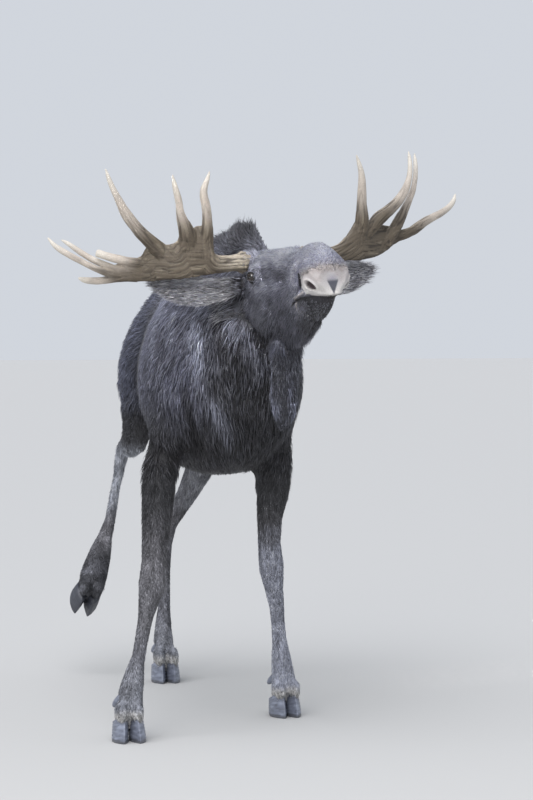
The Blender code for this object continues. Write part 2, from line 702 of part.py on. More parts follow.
CUTS = [
    slab((0.105, -0.885, 1.60), (0.30, -1.0, 0.35), 0.36),
    slab((0.055, -0.765, 1.50), (0.10, -1.0, 0.42), 0.60),
    slab((0, -0.30, 1.4), (0, 1, 0), 0.9),
    slab((0, 0.36, 1.4), (0, 1, 0), 0.9),
    slab((0, 1.066, 1.430), (0, 0.25, -0.97), 0.043),
    slab((0.138, -1.080, 1.365), (0, 0.45, 1), 0.110),
]
LEG_CUTS = (
    (LEG_FR, ((4, 0.130), (8, 0.120), (12, 0.110))),
    (LEG_FL, ((4, 0.130), (8, 0.120), (12, 0.110))),
    (LEG_HR, ((3, 0.150), (6, 0.110), (10, 0.110))),
    (LEG_HL, ((3, 0.150), (6, 0.110), (10, 0.110))),
)

for c in CUTS:
    boole(flesh, c)
for rows, cuts in LEG_CUTS:
    for k, size in cuts:
        boole(flesh, leg_cut(rows, k, size))
for me in islands(flesh):
    c = np.mean([v.co for v in me.vertices], axis=0)
    best = min(FLESH_NAMES, key=lambda n: float(np.linalg.norm(np.array(FLESH_NAMES[n]) - c)))
    print("shell", best, len(me.polygons), [round(float(x), 2) for x in c])
    ob = bpy.data.objects.new(best, me)
    GUIDES.objects.link(ob)
    keep(best if best not in PIECES else best + "_x", ob)

# ---------------------------------------------------------------- finish
COLOURS = {
    "antler_tine": (0.78, 0.72, 0.60, 1.0),
    "antler_palm": (0.36, 0.29, 0.20, 1.0),
    "hoof": (0.14, 0.15, 0.17, 1.0),
    "dewclaw": (0.10, 0.10, 0.11, 1.0),
    "eye": (0.010, 0.008, 0.007, 1.0),
    "leg": (0.20, 0.19, 0.18, 1.0),
    "coat": (0.055, 0.052, 0.050, 1.0),
}


def kind_of(name):
    if name.startswith("antler_"):
        return "antler_palm" if name.endswith("palm") else "antler_tine"
    for k in ("hoof", "dewclaw", "eye"):
        if name.startswith(k):
            return k
    if "leg_" in name and not name.endswith("_upper"):
        return "leg"
    return "coat"


def finish(name, ob):
    """Weld, triangulate, give the piece its own material and file it in the model."""
    bm = bmesh.new()
    bm.from_mesh(ob.data)
    bmesh.ops.remove_doubles(bm, verts=bm.verts, dist=2e-5)
    bmesh.ops.dissolve_degenerate(bm, edges=bm.edges, dist=1e-5)
    bmesh.ops.triangulate(bm, faces=bm.faces)
    bmesh.ops.recalc_face_normals(bm, faces=bm.faces)
    bm.to_mesh(ob.data)
    bm.free()
    mat = bpy.data.materials.new(name + "_finish")
    mat.use_nodes = True
    bsdf = mat.node_tree.nodes["Principled BSDF"]
    bsdf.inputs["Base Color"].default_value = COLOURS[kind_of(name)]
    bsdf.inputs["Roughness"].default_value = 0.15 if name.startswith("eye") else 0.75
    ob.data.materials.clear()
    ob.data.materials.append(mat)
    for c in list(ob.users_collection):
        c.objects.unlink(ob)
    MODEL.objects.link(ob)


low = np.min([v.co for ob in PIECES.values() for v in ob.data.vertices], axis=0)
high = np.max([v.co for ob in PIECES.values() for v in ob.data.vertices], axis=0)
CENTRING = Matrix.Translation((-(low[0] + high[0]) / 2, -(low[1] + high[1]) / 2, 0.0))
for name in sorted(PIECES):
    PIECES[name].data.transform(CENTRING)
    finish(name, PIECES[name])
print("centred by", [round(float(v), 5) for v in CENTRING.translation])
for ob in GUIDES.objects:
    ob.hide_render = True
    ob.display_type = "WIRE"
for name in sorted(PIECES):
    print("  ", name, len(PIECES[name].data.polygons))
print("nodes", len(PIECES), "triangles", sum(len(o.data.polygons) for o in MODEL.objects))
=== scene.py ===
# %% [markdown]
# # A bull moose, life size
# This lesson dresses a set of plain CAD solids as a standing bull moose.
# The solids give the outline out to the tips of the hair. Inside them we grow one skin,
# cover it with many small solid tufts of hair, and give eyes, antlers and hooves their own pieces.
# Everything is worked out from sizes in metres, so the animal looks the same on every run.

import math

import bmesh
import bpy
import numpy as np
from mathutils import Matrix, Vector


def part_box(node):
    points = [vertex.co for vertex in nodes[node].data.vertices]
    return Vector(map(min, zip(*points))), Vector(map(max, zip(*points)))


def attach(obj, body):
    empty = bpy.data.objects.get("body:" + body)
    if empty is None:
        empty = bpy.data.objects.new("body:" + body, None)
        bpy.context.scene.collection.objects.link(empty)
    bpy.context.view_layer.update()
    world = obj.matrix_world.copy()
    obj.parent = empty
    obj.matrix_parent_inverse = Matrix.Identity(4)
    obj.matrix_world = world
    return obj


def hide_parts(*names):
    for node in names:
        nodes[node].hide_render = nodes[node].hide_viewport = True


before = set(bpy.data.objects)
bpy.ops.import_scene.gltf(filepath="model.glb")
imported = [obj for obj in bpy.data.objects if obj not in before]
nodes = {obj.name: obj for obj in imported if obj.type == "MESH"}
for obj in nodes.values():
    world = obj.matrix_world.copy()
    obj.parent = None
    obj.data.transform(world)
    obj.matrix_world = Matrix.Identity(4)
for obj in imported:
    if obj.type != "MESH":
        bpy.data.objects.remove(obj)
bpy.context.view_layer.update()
print("frame nodes", len(nodes))

# %% [markdown]
# The head is turned and slightly tilted, so it is easier to shape it in its own directions:
# left, forward and up. The two eyeballs fix where the head is; the turn, pitch and roll are
# the same three angles that the solids were made with. Landmarks further down are written
# from an origin of their own, in which the head stands at HEAD_LANDMARK; CENTRING is the shift.

# %% The head's own directions
HEAD_YAW, HEAD_PITCH, HEAD_ROLL = (math.radians(a) for a in (10.0, 3.0, 5.0))
EYE_IN_HEAD = np.array([0.1175, 0.085, -0.052])
EYE_RADIUS = 0.020


def head_directions():
    cy, sy = math.cos(HEAD_YAW), math.sin(HEAD_YAW)
    cp, sp = math.cos(HEAD_PITCH), math.sin(HEAD_PITCH)
    forward = np.array([sy * cp, -cy * cp, sp])
    left = np.array([cy, sy, 0.0])
    up = np.cross(left, forward)
    up = up if up[2] > 0 else -up
    cr, sr = math.cos(HEAD_ROLL), math.sin(HEAD_ROLL)
    return np.array([left * cr + up * sr, forward, up * cr - left * sr])


def middle_of(name):
    low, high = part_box(name)
    return (np.array(low) + np.array(high)) / 2


HEAD_AXES = head_directions()
eyes_middle = (middle_of("eye_left") + middle_of("eye_right")) / 2
HEAD_ORIGIN = eyes_middle - EYE_IN_HEAD[1] * HEAD_AXES[1] - EYE_IN_HEAD[2] * HEAD_AXES[2]
HEAD_LANDMARK = np.array([0.125, -0.943, 1.761])
CENTRING = (HEAD_ORIGIN - HEAD_LANDMARK) * [1, 1, 0]


def from_head(points):
    return HEAD_ORIGIN + np.asarray(points, float) @ HEAD_AXES


def to_head(points):
    return (np.asarray(points, float) - HEAD_ORIGIN) @ HEAD_AXES.T


print("head origin", HEAD_ORIGIN.round(3), "centring", CENTRING.round(4))

# %% [markdown]
# A few small tools follow. `smooth` fades a mask from 0 to 1 between two values, and
# `noise` is value noise: random numbers on a grid, blended smoothly between the grid points.
# It gives every piece of fur, bone and horn its small uneven variation. `hump` is 1 at one
# place and fades away round it, and `mix` goes over from one value to another.

# %% Masks and noise


def smooth(low, high, x):
    t = np.clip((np.asarray(x, float) - low) / (high - low), 0.0, 1.0)
    return t * t * (3.0 - 2.0 * t)


def lattice(i, j, k, seed):
    h = (i.astype(np.uint32) * np.uint32(374761393) + j.astype(np.uint32) * np.uint32(668265263)
         + k.astype(np.uint32) * np.uint32(2246822519) + np.uint32(seed * 3266489917 % 4294967296))
    h = (h ^ (h >> np.uint32(13))) * np.uint32(1274126177)
    h = h ^ (h >> np.uint32(16))
    return h.astype(np.float64) / 2147483647.5 - 1.0


def noise(points, size, seed=0):
    """Smooth value noise in -1..1 with features about `size` metres across."""
    q = np.asarray(points, float) / size + 1000.0
    cell = np.floor(q).astype(np.int64)
    f = q - cell
    f = f * f * (3.0 - 2.0 * f)
    total = np.zeros(len(q))
    for di in (0, 1):
        for dj in (0, 1):
            for dk in (0, 1):
                w = ((f[:, 0] if di else 1 - f[:, 0]) * (f[:, 1] if dj else 1 - f[:, 1])
                     * (f[:, 2] if dk else 1 - f[:, 2]))
                total += w * lattice(cell[:, 0] + di, cell[:, 1] + dj, cell[:, 2] + dk, seed)
    return total


def hump(x, width):
    """1 where x is 0, fading away to either side over `width`."""
    return np.exp(-(x / width) ** 2)


def mix(a, b, share):
    """From a at share 0 to b at share 1."""
    return a * (1 - share) + b * share


def unit(v):
    return v / np.maximum(np.linalg.norm(v, axis=-1, keepdims=True), 1e-9)


# %% [markdown]
# Blender meshes and number arrays have to be swapped back and forth many times.
# These helpers read a mesh into arrays, build one from arrays, and loft rings into a closed skin.

# %% Arrays to meshes and back


def build_mesh(name, verts, faces, shade=True):
    """Verts (n,3) and faces as an (m,3) or (m,4) array or a list of such arrays."""
    groups = faces if isinstance(faces, list) else [faces]
    groups = [g for g in groups if len(g)]
    me = bpy.data.meshes.new(name)
    me.vertices.add(len(verts))
    me.vertices.foreach_set("co", np.asarray(verts, np.float32).ravel())
    loops = np.concatenate([g.ravel() for g in groups]).astype(np.int32)
    counts = np.concatenate([np.full(len(g), g.shape[1]) for g in groups])
    starts = np.concatenate([[0], np.cumsum(counts)[:-1]]).astype(np.int32)
    me.loops.add(len(loops))
    me.loops.foreach_set("vertex_index", loops)
    me.polygons.add(len(counts))
    me.polygons.foreach_set("loop_start", starts)
    me.update(calc_edges=True)
    me.validate()
    me.polygons.foreach_set("use_smooth", np.full(len(me.polygons), shade))
    return me


def add_object(name, data):
    ob = bpy.data.objects.new(name, data)
    bpy.context.scene.collection.objects.link(ob)
    return ob


def coords(me):
    co = np.empty(len(me.vertices) * 3, np.float32)
    me.vertices.foreach_get("co", co)
    return co.reshape(-1, 3).astype(np.float64)


def set_coords(me, co):
    me.vertices.foreach_set("co", np.asarray(co, np.float32).ravel())
    me.update()


def normals(me):
    no = np.empty(len(me.vertices) * 3, np.float32)
    me.vertex_normals.foreach_get("vector", no)
    return no.reshape(-1, 3).astype(np.float64)


def edge_pairs(me):
    ed = np.empty(len(me.edges) * 2, np.int32)
    me.edges.foreach_get("vertices", ed)
    return ed.reshape(-1, 2)


def applied(ob, *mods):
    """Run modifiers given as (type, settings) and keep their result as the mesh."""
    for kind, settings in mods:
        m = ob.modifiers.new(kind.lower(), kind)
        for key, value in settings.items():
            setattr(m, key, value)
    graph = bpy.context.evaluated_depsgraph_get()
    graph.update()
    me = bpy.data.meshes.new_from_object(ob.evaluated_get(graph))
    ob.modifiers.clear()
    ob.data = me
    return ob


def joined(name, parts):
    """One mesh from several (verts, faces list) pairs."""
    verts, faces, base = [], [], 0
    for v, groups in parts:
        verts.append(v)
        faces += [g + base for g in groups]
        base += len(v)
    return build_mesh(name, np.vstack(verts), faces)


def as_arrays(me):
    """A mesh as points and triangles; the mesh itself stays as it is."""
    bm = bmesh.new()
    bm.from_mesh(me)
    bmesh.ops.triangulate(bm, faces=bm.faces)
    v = np.array([p.co for p in bm.verts])
    f = np.array([[w.index for w in p.verts] for p in bm.faces])
    bm.free()
    return v, [f]


def loft(rings):
    """Close equal rings of points into a skin of quads with capped ends."""
    rings = np.asarray(rings, float)
    m, n = rings.shape[:2]
    idx = np.arange(m * n).reshape(m, n)
    nxt = np.roll(idx, -1, axis=1)
    quads = np.stack([idx[:-1], nxt[:-1], nxt[1:], idx[1:]], -1).reshape(-1, 4)
    verts = np.vstack([rings.reshape(-1, 3), rings[0].mean(0), rings[-1].mean(0)])
    a = np.stack([nxt[0], idx[0], np.full(n, m * n)], -1)
    b = np.stack([idx[-1], nxt[-1], np.full(n, m * n + 1)], -1)
    return verts, [quads, a, b]


def halved(groups):
    """All faces as triangles."""
    out = [g if g.shape[1] == 3 else np.vstack([g[:, :3], g[:, [0, 2, 3]]]) for g in groups]
    return np.vstack(out)


def relax(co, pairs, rounds, shrink=0.55, swell=-0.56):
    """Taubin smoothing: a step in and a step out, so lumps go and volume stays."""
    n = len(co)
    degree = np.bincount(pairs.ravel(), minlength=n).astype(float)[:, None]
    for _ in range(rounds):
        for step in (shrink, swell):
            total = np.empty_like(co)
            for k in range(3):
                total[:, k] = (np.bincount(pairs[:, 0], co[pairs[:, 1], k], n)
                               + np.bincount(pairs[:, 1], co[pairs[:, 0], k], n))
            co = co + step * (total / degree - co)
    return co


def curve_through(rows, per):
    """Catmull-Rom through the rows, `per` steps between neighbours."""
    p = np.asarray(rows, float)
    ext = np.vstack([2 * p[0] - p[1], p, 2 * p[-1] - p[-2]])
    out = []
    for i in range(1, len(ext) - 2):
        a, b, c, d = ext[i - 1:i + 3]
        for t in np.arange(per) / per:
            out.append(0.5 * (2 * b + (c - a) * t + (2 * a - 5 * b + 4 * c - d) * t ** 2
                              + (3 * b - a - 3 * c + d) * t ** 3))
    out.append(ext[-2])
    return np.array(out)


# %% [markdown]
# ## The feet's places
# Each foot is described once, because skin, hair and hooves all need it: where its coronet is,
# which way it points, and how far it is tipped. The lifted hind foot is tipped right down.

# %% Foot sizes
FEET = {
    "fore_right": dict(at=(-0.407, -0.885, 0.078), head=4.0, pitch=0.0, lean=0.0, spread=0.006),
    "fore_left": dict(at=(0.263, -0.412, 0.078), head=10.0, pitch=0.0, lean=0.0, spread=0.001),
    "hind_left": dict(at=(-0.072, 0.570, 0.078), head=4.0, pitch=0.0, lean=0.0, spread=0.002),
    "hind_right": dict(at=(-0.371, 0.836, 0.352), head=4.0, pitch=66.0, lean=-15.0, spread=0.004,
                       dew=dict(at=(-0.347, 0.846, 0.395), head=4.0, pitch=0.0, lean=-12.0)),
}
TOE_LENGTH, TOE_WIDTH, TOE_GAP, SOLE_DROP = 0.136, 0.060, 0.004, 0.078
CORONET_SLOPE = math.tan(math.radians(24.0)) * 0.9


def foot_turn(spec):
    """The matrix that turns a foot and sets it in its place."""
    a = math.radians(spec["head"])
    fwd, side = Vector((math.sin(a), -math.cos(a), 0.0)), Vector((math.cos(a), math.sin(a), 0.0))
    m = Matrix((fwd, side, Vector((0, 0, 1)))).transposed().to_4x4()
    tip = Matrix.Rotation(math.radians(spec["pitch"]), 4, side)
    lean = Matrix.Rotation(math.radians(spec["lean"]), 4, fwd)
    at = Vector(spec["at"]) + Vector(CENTRING)
    return np.array(Matrix.Translation(at) @ lean @ tip @ m)


def moved(m, pts):
    return pts @ m[:3, :3].T + m[:3, 3]


EGG_RINGS = 20


def egg(centre, radii):
    """Rings of an upright egg, ready to be placed and lofted."""
    a = np.linspace(0.05, math.pi - 0.05, EGG_RINGS)
    b = np.linspace(0, 2 * math.pi, 2 * EGG_RINGS, endpoint=False)
    return np.array([[np.array(centre) + np.array([math.sin(u) * math.cos(w), -math.cos(u),
                                                   math.sin(u) * math.sin(w)]) * radii
                      for w in b] for u in a])


def near_foot(m, p):
    """Which points are round the foot placed by `m`, and all points in that foot's directions."""
    f = moved(np.linalg.inv(m), p)
    return (np.abs(f[:, 0]) < 0.10) & (np.abs(f[:, 1]) < 0.085), f


def toe_bulbs():
    """The hairy swelling over each toe, just above the horn."""
    out = []
    for spec in FEET.values():
        m = foot_turn(spec)
        for sgn in (1, -1):
            rings = (egg((0.010, sgn * 0.030, 0.028), (0.056, 0.0235, 0.042)) if not spec["pitch"]
                     else egg((-0.006, sgn * 0.028, 0.040), (0.036, 0.023, 0.034)))
            out.append(loft(np.array([moved(m, r) for r in rings])))
        web = egg((-0.012, 0.0, 0.000), (0.036, 0.012, 0.046))
        out.append(loft(np.array([moved(m, r) for r in web])))
    return out


print("feet", list(FEET))

# %% [markdown]
# ## The skin under the coat
# A real hide hugs muscle and bone, and the hair stands on it. The solids reach to the hair
# tips, so the skin is made from them and then drawn in by the depth of the coat at each place.
# The body solids are welded by a voxel remesh, which forgets the cuts between them.

# %% Weld the body solids
FLESH = [n for n in nodes if not n.startswith(("antler", "hoof", "dewclaw", "eye", "ear"))]
EARS = ["ear_left", "ear_right"]
BODY_GRID, SKIN_GRID = 0.0062, 0.0052


def body_shell():
    me = joined("body_weld", [as_arrays(nodes[n].data) for n in FLESH] + toe_bulbs())
    ob = applied(add_object("body_weld", me),
                 ("REMESH", dict(mode="VOXEL", voxel_size=BODY_GRID)))
    co = relax(coords(ob.data), edge_pairs(ob.data), 10)
    set_coords(ob.data, co)
    return ob


body = body_shell()
print("welded body", len(body.data.vertices), "points")

# %% [markdown]
# The coat is deepest on the neck crest and thinnest on the face and the feet. `coat_depth`
# returns how far the hair tips stand off the skin anywhere on the body. Places are described
# from a handful of landmarks: heights for the legs, the head's own directions for the face.
# The tail is so thin that a full depth would eat it up, so it has a shallow one of its own.

# %% How deep the coat is


def in_model(points):
    """Places in the directions and origin that the landmark numbers below are written in."""
    return np.asarray(points, float) - CENTRING


def leg_share(p):
    """0 on the trunk, 1 on the legs below elbow and stifle."""
    q = in_model(p)
    return 1.0 - smooth(0.90, 1.06, q[:, 2])


def head_share(p):
    """1 on the head, 0 behind the jaw."""
    h = to_head(p)
    ahead = smooth(-0.10, 0.04, h[:, 1])
    near = 1.0 - smooth(0.26, 0.34, np.linalg.norm((h - [0, 0.22, -0.11]) * [1.0, 0.75, 1.1], axis=1))
    return ahead * near


def off_crest_line(q):
    """How far left of the middle of the turned neck each place is."""
    return q[:, 0] - 0.125 * np.clip((-q[:, 1] - 0.30) / 0.6, 0, 1)


def crest_share(p):
    """1 on the standing mane of the neck."""
    q = in_model(p)
    along = smooth(-0.96, -0.86, q[:, 1]) * (1.0 - smooth(-0.45, -0.12, q[:, 1]))
    top = smooth(1.74, 1.86, q[:, 2] + 0.25 * np.maximum(0.0, q[:, 1] + 0.5))
    mid = 1.0 - smooth(0.07, 0.17, np.abs(off_crest_line(q)))
    return along * top * mid


TAIL_LINE = [(0.0, 1.010, 1.525), (0.0, 1.052, 1.465), (0.0, 1.072, 1.395), (0.0, 1.076, 1.340)]


def tail_share(p):
    """1 on the short tail, 0 on the rump."""
    q = in_model(p)
    return (1.0 - smooth(0.036, 0.056, off_path(q, TAIL_LINE))) * smooth(1.00, 1.04, q[:, 1])


def coat_depth(p):
    """How far the hair tips stand off the skin, in metres."""
    q = in_model(p)
    depth = np.full(len(p), 0.021)
    depth += 0.020 * crest_share(p)
    legs = leg_share(p)
    leg_depth = 0.0025 + 0.0065 * smooth(0.50, 1.00, q[:, 2])
    depth = mix(depth, leg_depth, legs)
    heads = head_share(p)
    h = to_head(p)
    face = 0.0050 + 0.005 * (1 - smooth(-0.02, 0.22, h[:, 1]))
    return mix(mix(depth, face, heads), 0.008, tail_share(p))


# %% [markdown]
# Muscle and folds are pushed into the shell along short paths: a crease where the haunch meets
# the ribs, one between neck and shoulder, one behind the jaw, and swellings between them.

# %% Folds and muscles of the body
OUTSIDE = 9.0     # stands for "nowhere near": larger than any real distance or share here


def off_path(a, path):
    """Distance from each point to a path given by a few points."""
    path = np.asarray(path, float)
    best = np.full(len(a), OUTSIDE)
    for p, q in zip(path[:-1], path[1:]):
        d = q - p
        t = np.clip((a - p) @ d / (d @ d), 0, 1)[:, None]
        best = np.minimum(best, np.linalg.norm(a - (p + t * d), axis=1))
    return best


def off_cut(a, path, depth, inward=(-0.80, -0.60, 0.0)):
    """Distance to a cut that runs `depth` in from a path, or to a ridge that stands out from it."""
    layers = [np.asarray(path, float) + np.array(inward) * d for d in np.linspace(0.0, depth, 6)]
    return np.min([off_path(a, layer) for layer in layers], axis=0)


def line_push(a, path, width, height):
    """Height along a path, fading over `width` to either side."""
    return height * hump(off_path(a, path), width)


FOLDS = [         # width, height (negative is a crease), path
    (0.050, -0.034, [(-0.203, 0.440, 1.52), (-0.211, 0.415, 1.33), (-0.205, 0.430, 1.20),
                     (-0.190, 0.480, 1.08)]),
    (0.030, -0.012, [(-0.100, -0.770, 1.56), (-0.098, -0.830, 1.46), (-0.105, -0.855, 1.38),
                     (-0.085, -0.880, 1.29)]),
    (0.030, 0.012, [(-0.150, -0.740, 1.60), (-0.131, -0.824, 1.46), (-0.136, -0.845, 1.39),
                    (-0.119, -0.865, 1.31)]),
    (0.030, -0.018, [(0.010, -0.900, 1.63), (0.030, -0.940, 1.55), (0.070, -0.950, 1.48),
                     (0.110, -0.945, 1.43)]),
    (0.032, -0.016, [(-0.310, -0.560, 1.12), (-0.265, -0.690, 1.06), (-0.200, -0.720, 1.06),
                     (-0.160, -0.710, 1.09)]),
    (0.085, 0.018, [(-0.240, -0.690, 1.24), (-0.225, -0.702, 1.15)]),
    (0.034, -0.016, [(-0.170, -0.790, 1.32), (-0.155, -0.790, 1.18), (-0.130, -0.750, 1.04)]),
    (0.045, 0.012, [(-0.095, -0.875, 1.27), (-0.040, -0.880, 1.16), (0.010, -0.820, 1.05)]),
    (0.050, -0.014, [(-0.270, -0.380, 1.50), (-0.300, -0.330, 1.36), (-0.310, -0.330, 1.20)]),
    (0.070, 0.010, [(-0.250, -0.560, 1.50), (-0.262, -0.600, 1.38)]),
    (0.032, -0.014, [(0.300, -0.560, 1.12), (0.250, -0.660, 1.06), (0.200, -0.700, 1.06)]),
    (0.050, -0.030, [(0.235, 0.440, 1.52), (0.243, 0.415, 1.33), (0.237, 0.430, 1.20),
                     (0.220, 0.480, 1.08)]),
    (0.050, -0.014, [(0.300, -0.380, 1.50), (0.330, -0.330, 1.36), (0.340, -0.330, 1.20)]),
]


def shape_body(co, nrm):
    """Push the folds and muscles in and out along the skin's own directions."""
    q = in_model(co)
    push = np.zeros(len(q))
    for width, height, path in FOLDS:
        push += line_push(q, path, width, height)
    push += 0.004 * noise(q, 0.11, 5) * (q[:, 2] > 1.0)
    return co + nrm * push[:, None]


co = coords(body.data)
co -= normals(body.data) * coat_depth(co)[:, None]
co = shape_body(co, normals(body.data))
# The lofted head takes over in front, so the face of the solids is narrowed to lie inside it.
h = to_head(co)
front = smooth(0.10, 0.20, h[:, 1])[:, None]
inner = h * [0.55, 1.0, 0.70] + [0.0, -0.03, -0.035]
co = from_head(mix(h, inner, front))
set_coords(body.data, co)
print("coat depth", coat_depth(co).min().round(4), coat_depth(co).max().round(4))

# %% [markdown]
# ## The head
# A moose head is long and narrow with a deep jaw, a swollen overhanging nose and a small eye
# set high. It is lofted from cross sections along the face. Each row below is one section:
# how far forward it is, its top and bottom, and its half width at seven heights.

# %% Loft the head
FACE = np.array([
    # fwd    top     bottom  half widths from the bottom to the top
    [-0.140, -0.006, -0.170, 0.018, 0.038, 0.056, 0.070, 0.073, 0.056, 0.022],
    [-0.070, 0.026, -0.214, 0.020, 0.052, 0.078, 0.094, 0.097, 0.077, 0.030],
    [0.000, 0.038, -0.253, 0.020, 0.060, 0.088, 0.106, 0.110, 0.092, 0.046],
    [0.060, 0.038, -0.280, 0.020, 0.060, 0.088, 0.106, 0.112, 0.094, 0.048],
    [0.120, 0.034, -0.299, 0.020, 0.056, 0.084, 0.101, 0.104, 0.087, 0.044],
    [0.170, 0.027, -0.301, 0.019, 0.050, 0.075, 0.090, 0.091, 0.073, 0.038],
    [0.220, 0.022, -0.293, 0.018, 0.044, 0.066, 0.080, 0.080, 0.064, 0.033],
    [0.280, 0.017, -0.275, 0.017, 0.038, 0.056, 0.069, 0.070, 0.057, 0.031],
    [0.335, 0.018, -0.257, 0.017, 0.035, 0.052, 0.065, 0.068, 0.056, 0.029],
    [0.385, 0.029, -0.239, 0.017, 0.035, 0.052, 0.067, 0.073, 0.054, 0.024],
    [0.430, 0.037, -0.224, 0.018, 0.038, 0.055, 0.073, 0.078, 0.052, 0.020],
    [0.475, 0.031, -0.209, 0.018, 0.038, 0.054, 0.075, 0.082, 0.049, 0.016],
    [0.515, 0.009, -0.194, 0.016, 0.036, 0.050, 0.072, 0.078, 0.046, 0.014],
    [0.545, -0.022, -0.179, 0.012, 0.028, 0.042, 0.062, 0.067, 0.042, 0.013],
    [0.563, -0.050, -0.166, 0.008, 0.018, 0.030, 0.046, 0.050, 0.034, 0.010],
])
LEVELS = np.array([0.0, 0.14, 0.30, 0.48, 0.68, 0.88, 1.0])


def head_loft():
    rows = curve_through(FACE, 4)
    rings = []
    for row in rows:
        fwd, top, bottom = row[:3]
        side = curve_through(np.stack([row[3:], bottom + (top - bottom) * LEVELS], 1), 4)
        half = side[:, 0]
        left = np.stack([half, np.full(len(side), fwd), side[:, 1]], 1)
        right = left[::-1] * [-1, 1, 1]
        rings.append(from_head(np.vstack([left, right])))
    return loft(rings)


def blob(centre, radii):
    """An egg in head directions."""
    return loft(np.array([from_head(r) for r in egg(centre, radii)]))


def tube(points, radii, sides=16, flat=1.0, across=(0, 0, 1)):
    """A round or flattened tube along a path; `across` is the direction of the flattening."""
    path = np.asarray(points, float)
    radii = np.asarray(radii, float)
    tangent = unit(np.gradient(path, axis=0))
    ref = np.asarray(across, float)
    v = unit(ref - tangent * (tangent @ ref)[:, None])
    u = np.cross(tangent, v)
    w = np.linspace(0, 2 * math.pi, sides, endpoint=False)
    rings = (path[:, None] + radii[:, None, None] * (np.cos(w)[None, :, None] * u[:, None]
             + flat * np.sin(w)[None, :, None] * v[:, None]))
    return loft(rings)


head_parts = [head_loft()]
for side in (1, -1):
    head_parts.append(blob((side * 0.099, 0.078, -0.026), (0.025, 0.046, 0.022)))        # brow
    head_parts.append(blob((side * 0.100, 0.086, -0.055), (0.027, 0.042, 0.034)))        # eye socket
    head_parts.append(blob((side * 0.074, 0.070, -0.165), (0.034, 0.090, 0.080)))        # cheek muscle
    head_parts.append(tube(from_head([(side * 0.045, 0.0, -0.004), (side * 0.080, 0.0, 0.003),
                                      (side * 0.118, 0.0, 0.008)]), (0.042, 0.038, 0.032)))  # pedicle
    head_parts.append(blob((side * 0.057, 0.503, -0.098), (0.028, 0.040, 0.034)))        # nose wing
print("head forms", len(head_parts))

# %% Weld head and body into one skin
bell_rows = np.array([
    (0.160, -1.000, 1.540, 0.051), (0.156, -1.040, 1.460, 0.050), (0.150, -1.050, 1.400, 0.050),
    (0.147, -1.052, 1.340, 0.050), (0.145, -1.052, 1.285, 0.048), (0.144, -1.050, 1.235, 0.044),
    (0.143, -1.046, 1.190, 0.035), (0.143, -1.044, 1.162, 0.020)])
bell = curve_through(bell_rows, 4)
head_parts.append(tube(bell[:, :3] + CENTRING, bell[:, 3], flat=0.62, across=(0, 1, 0)))


def bell_reach(p):
    """Distance to the middle of the bell, the flap of skin that hangs from the throat."""
    return off_path(p, bell[:, :3] + CENTRING)


def weld_skin():
    me = joined("skin", [as_arrays(body.data)] + head_parts)
    ob = applied(add_object("skin", me), ("REMESH", dict(mode="VOXEL", voxel_size=SKIN_GRID)))
    set_coords(ob.data, relax(coords(ob.data), edge_pairs(ob.data), 4))
    return ob


skin = weld_skin()
bpy.data.objects.remove(body)
print("skin", len(skin.data.vertices), "points")

# %% [markdown]
# ## Sculpting the face
# Lips, nostrils and lids are only a few millimetres across, finer than the weld's grid.
# The muzzle is split once more and the eye region twice, then points are pushed in and out.
# Both sides of the face are alike, so the work is done on the distance from the middle plane.

# %% Finer mesh on muzzle and eyes


def split_where(ob, chosen):
    """Split every edge whose two ends are chosen; return new coordinates."""
    bm = bmesh.new()
    bm.from_mesh(ob.data)
    edges = [e for e in bm.edges if chosen[e.verts[0].index] and chosen[e.verts[1].index]]
    bmesh.ops.subdivide_edges(bm, edges=edges, cuts=1, use_grid_fill=True)
    bm.to_mesh(ob.data)
    bm.free()
    return coords(ob.data)


def folded(h):
    """Head coordinates with both sides laid on the left one."""
    return np.stack([np.abs(h[:, 0]), h[:, 1], h[:, 2]], 1)


def eye_reach(h):
    return np.linalg.norm(folded(h) - EYE_IN_HEAD, axis=1)


h = to_head(coords(skin.data))
split_where(skin, ((h[:, 1] > 0.30) & (np.abs(h[:, 0]) < 0.13)) | (eye_reach(h) < 0.060))
h = to_head(coords(skin.data))
split_where(skin, eye_reach(h) < 0.042)
co = coords(skin.data)
local = ((to_head(co)[:, 1] > 0.29) | (eye_reach(to_head(co)) < 0.07))[:, None]
set_coords(skin.data, np.where(local, relax(co, edge_pairs(skin.data), 3), co))
print("skin with finer face", len(co), "points")

# %% Grooves, ridges and pits
MOUTH = np.array([(0.060, 0.318, -0.163), (0.062, 0.350, -0.157), (0.060, 0.400, -0.150),
                  (0.056, 0.467, -0.146), (0.047, 0.523, -0.152), (0.026, 0.552, -0.157),
                  (0.0, 0.563, -0.159)])
ALAR = [(0.084, 0.457, -0.064), (0.081, 0.447, -0.082), (0.074, 0.432, -0.101), (0.066, 0.412, -0.117),
        (0.062, 0.392, -0.124)]
HOLLOW = [(0.084, 0.449, -0.068), (0.080, 0.439, -0.086), (0.074, 0.424, -0.102),
          (0.066, 0.406, -0.118)]
FLANGE = [(0.080, 0.425, -0.036), (0.077, 0.402, -0.052), (0.073, 0.384, -0.078),
          (0.068, 0.378, -0.105)]
LIP_FOLD = [(0.062, 0.430, -0.131), (0.060, 0.380, -0.140), (0.060, 0.345, -0.150),
            (0.055, 0.326, -0.180), (0.050, 0.330, -0.205)]
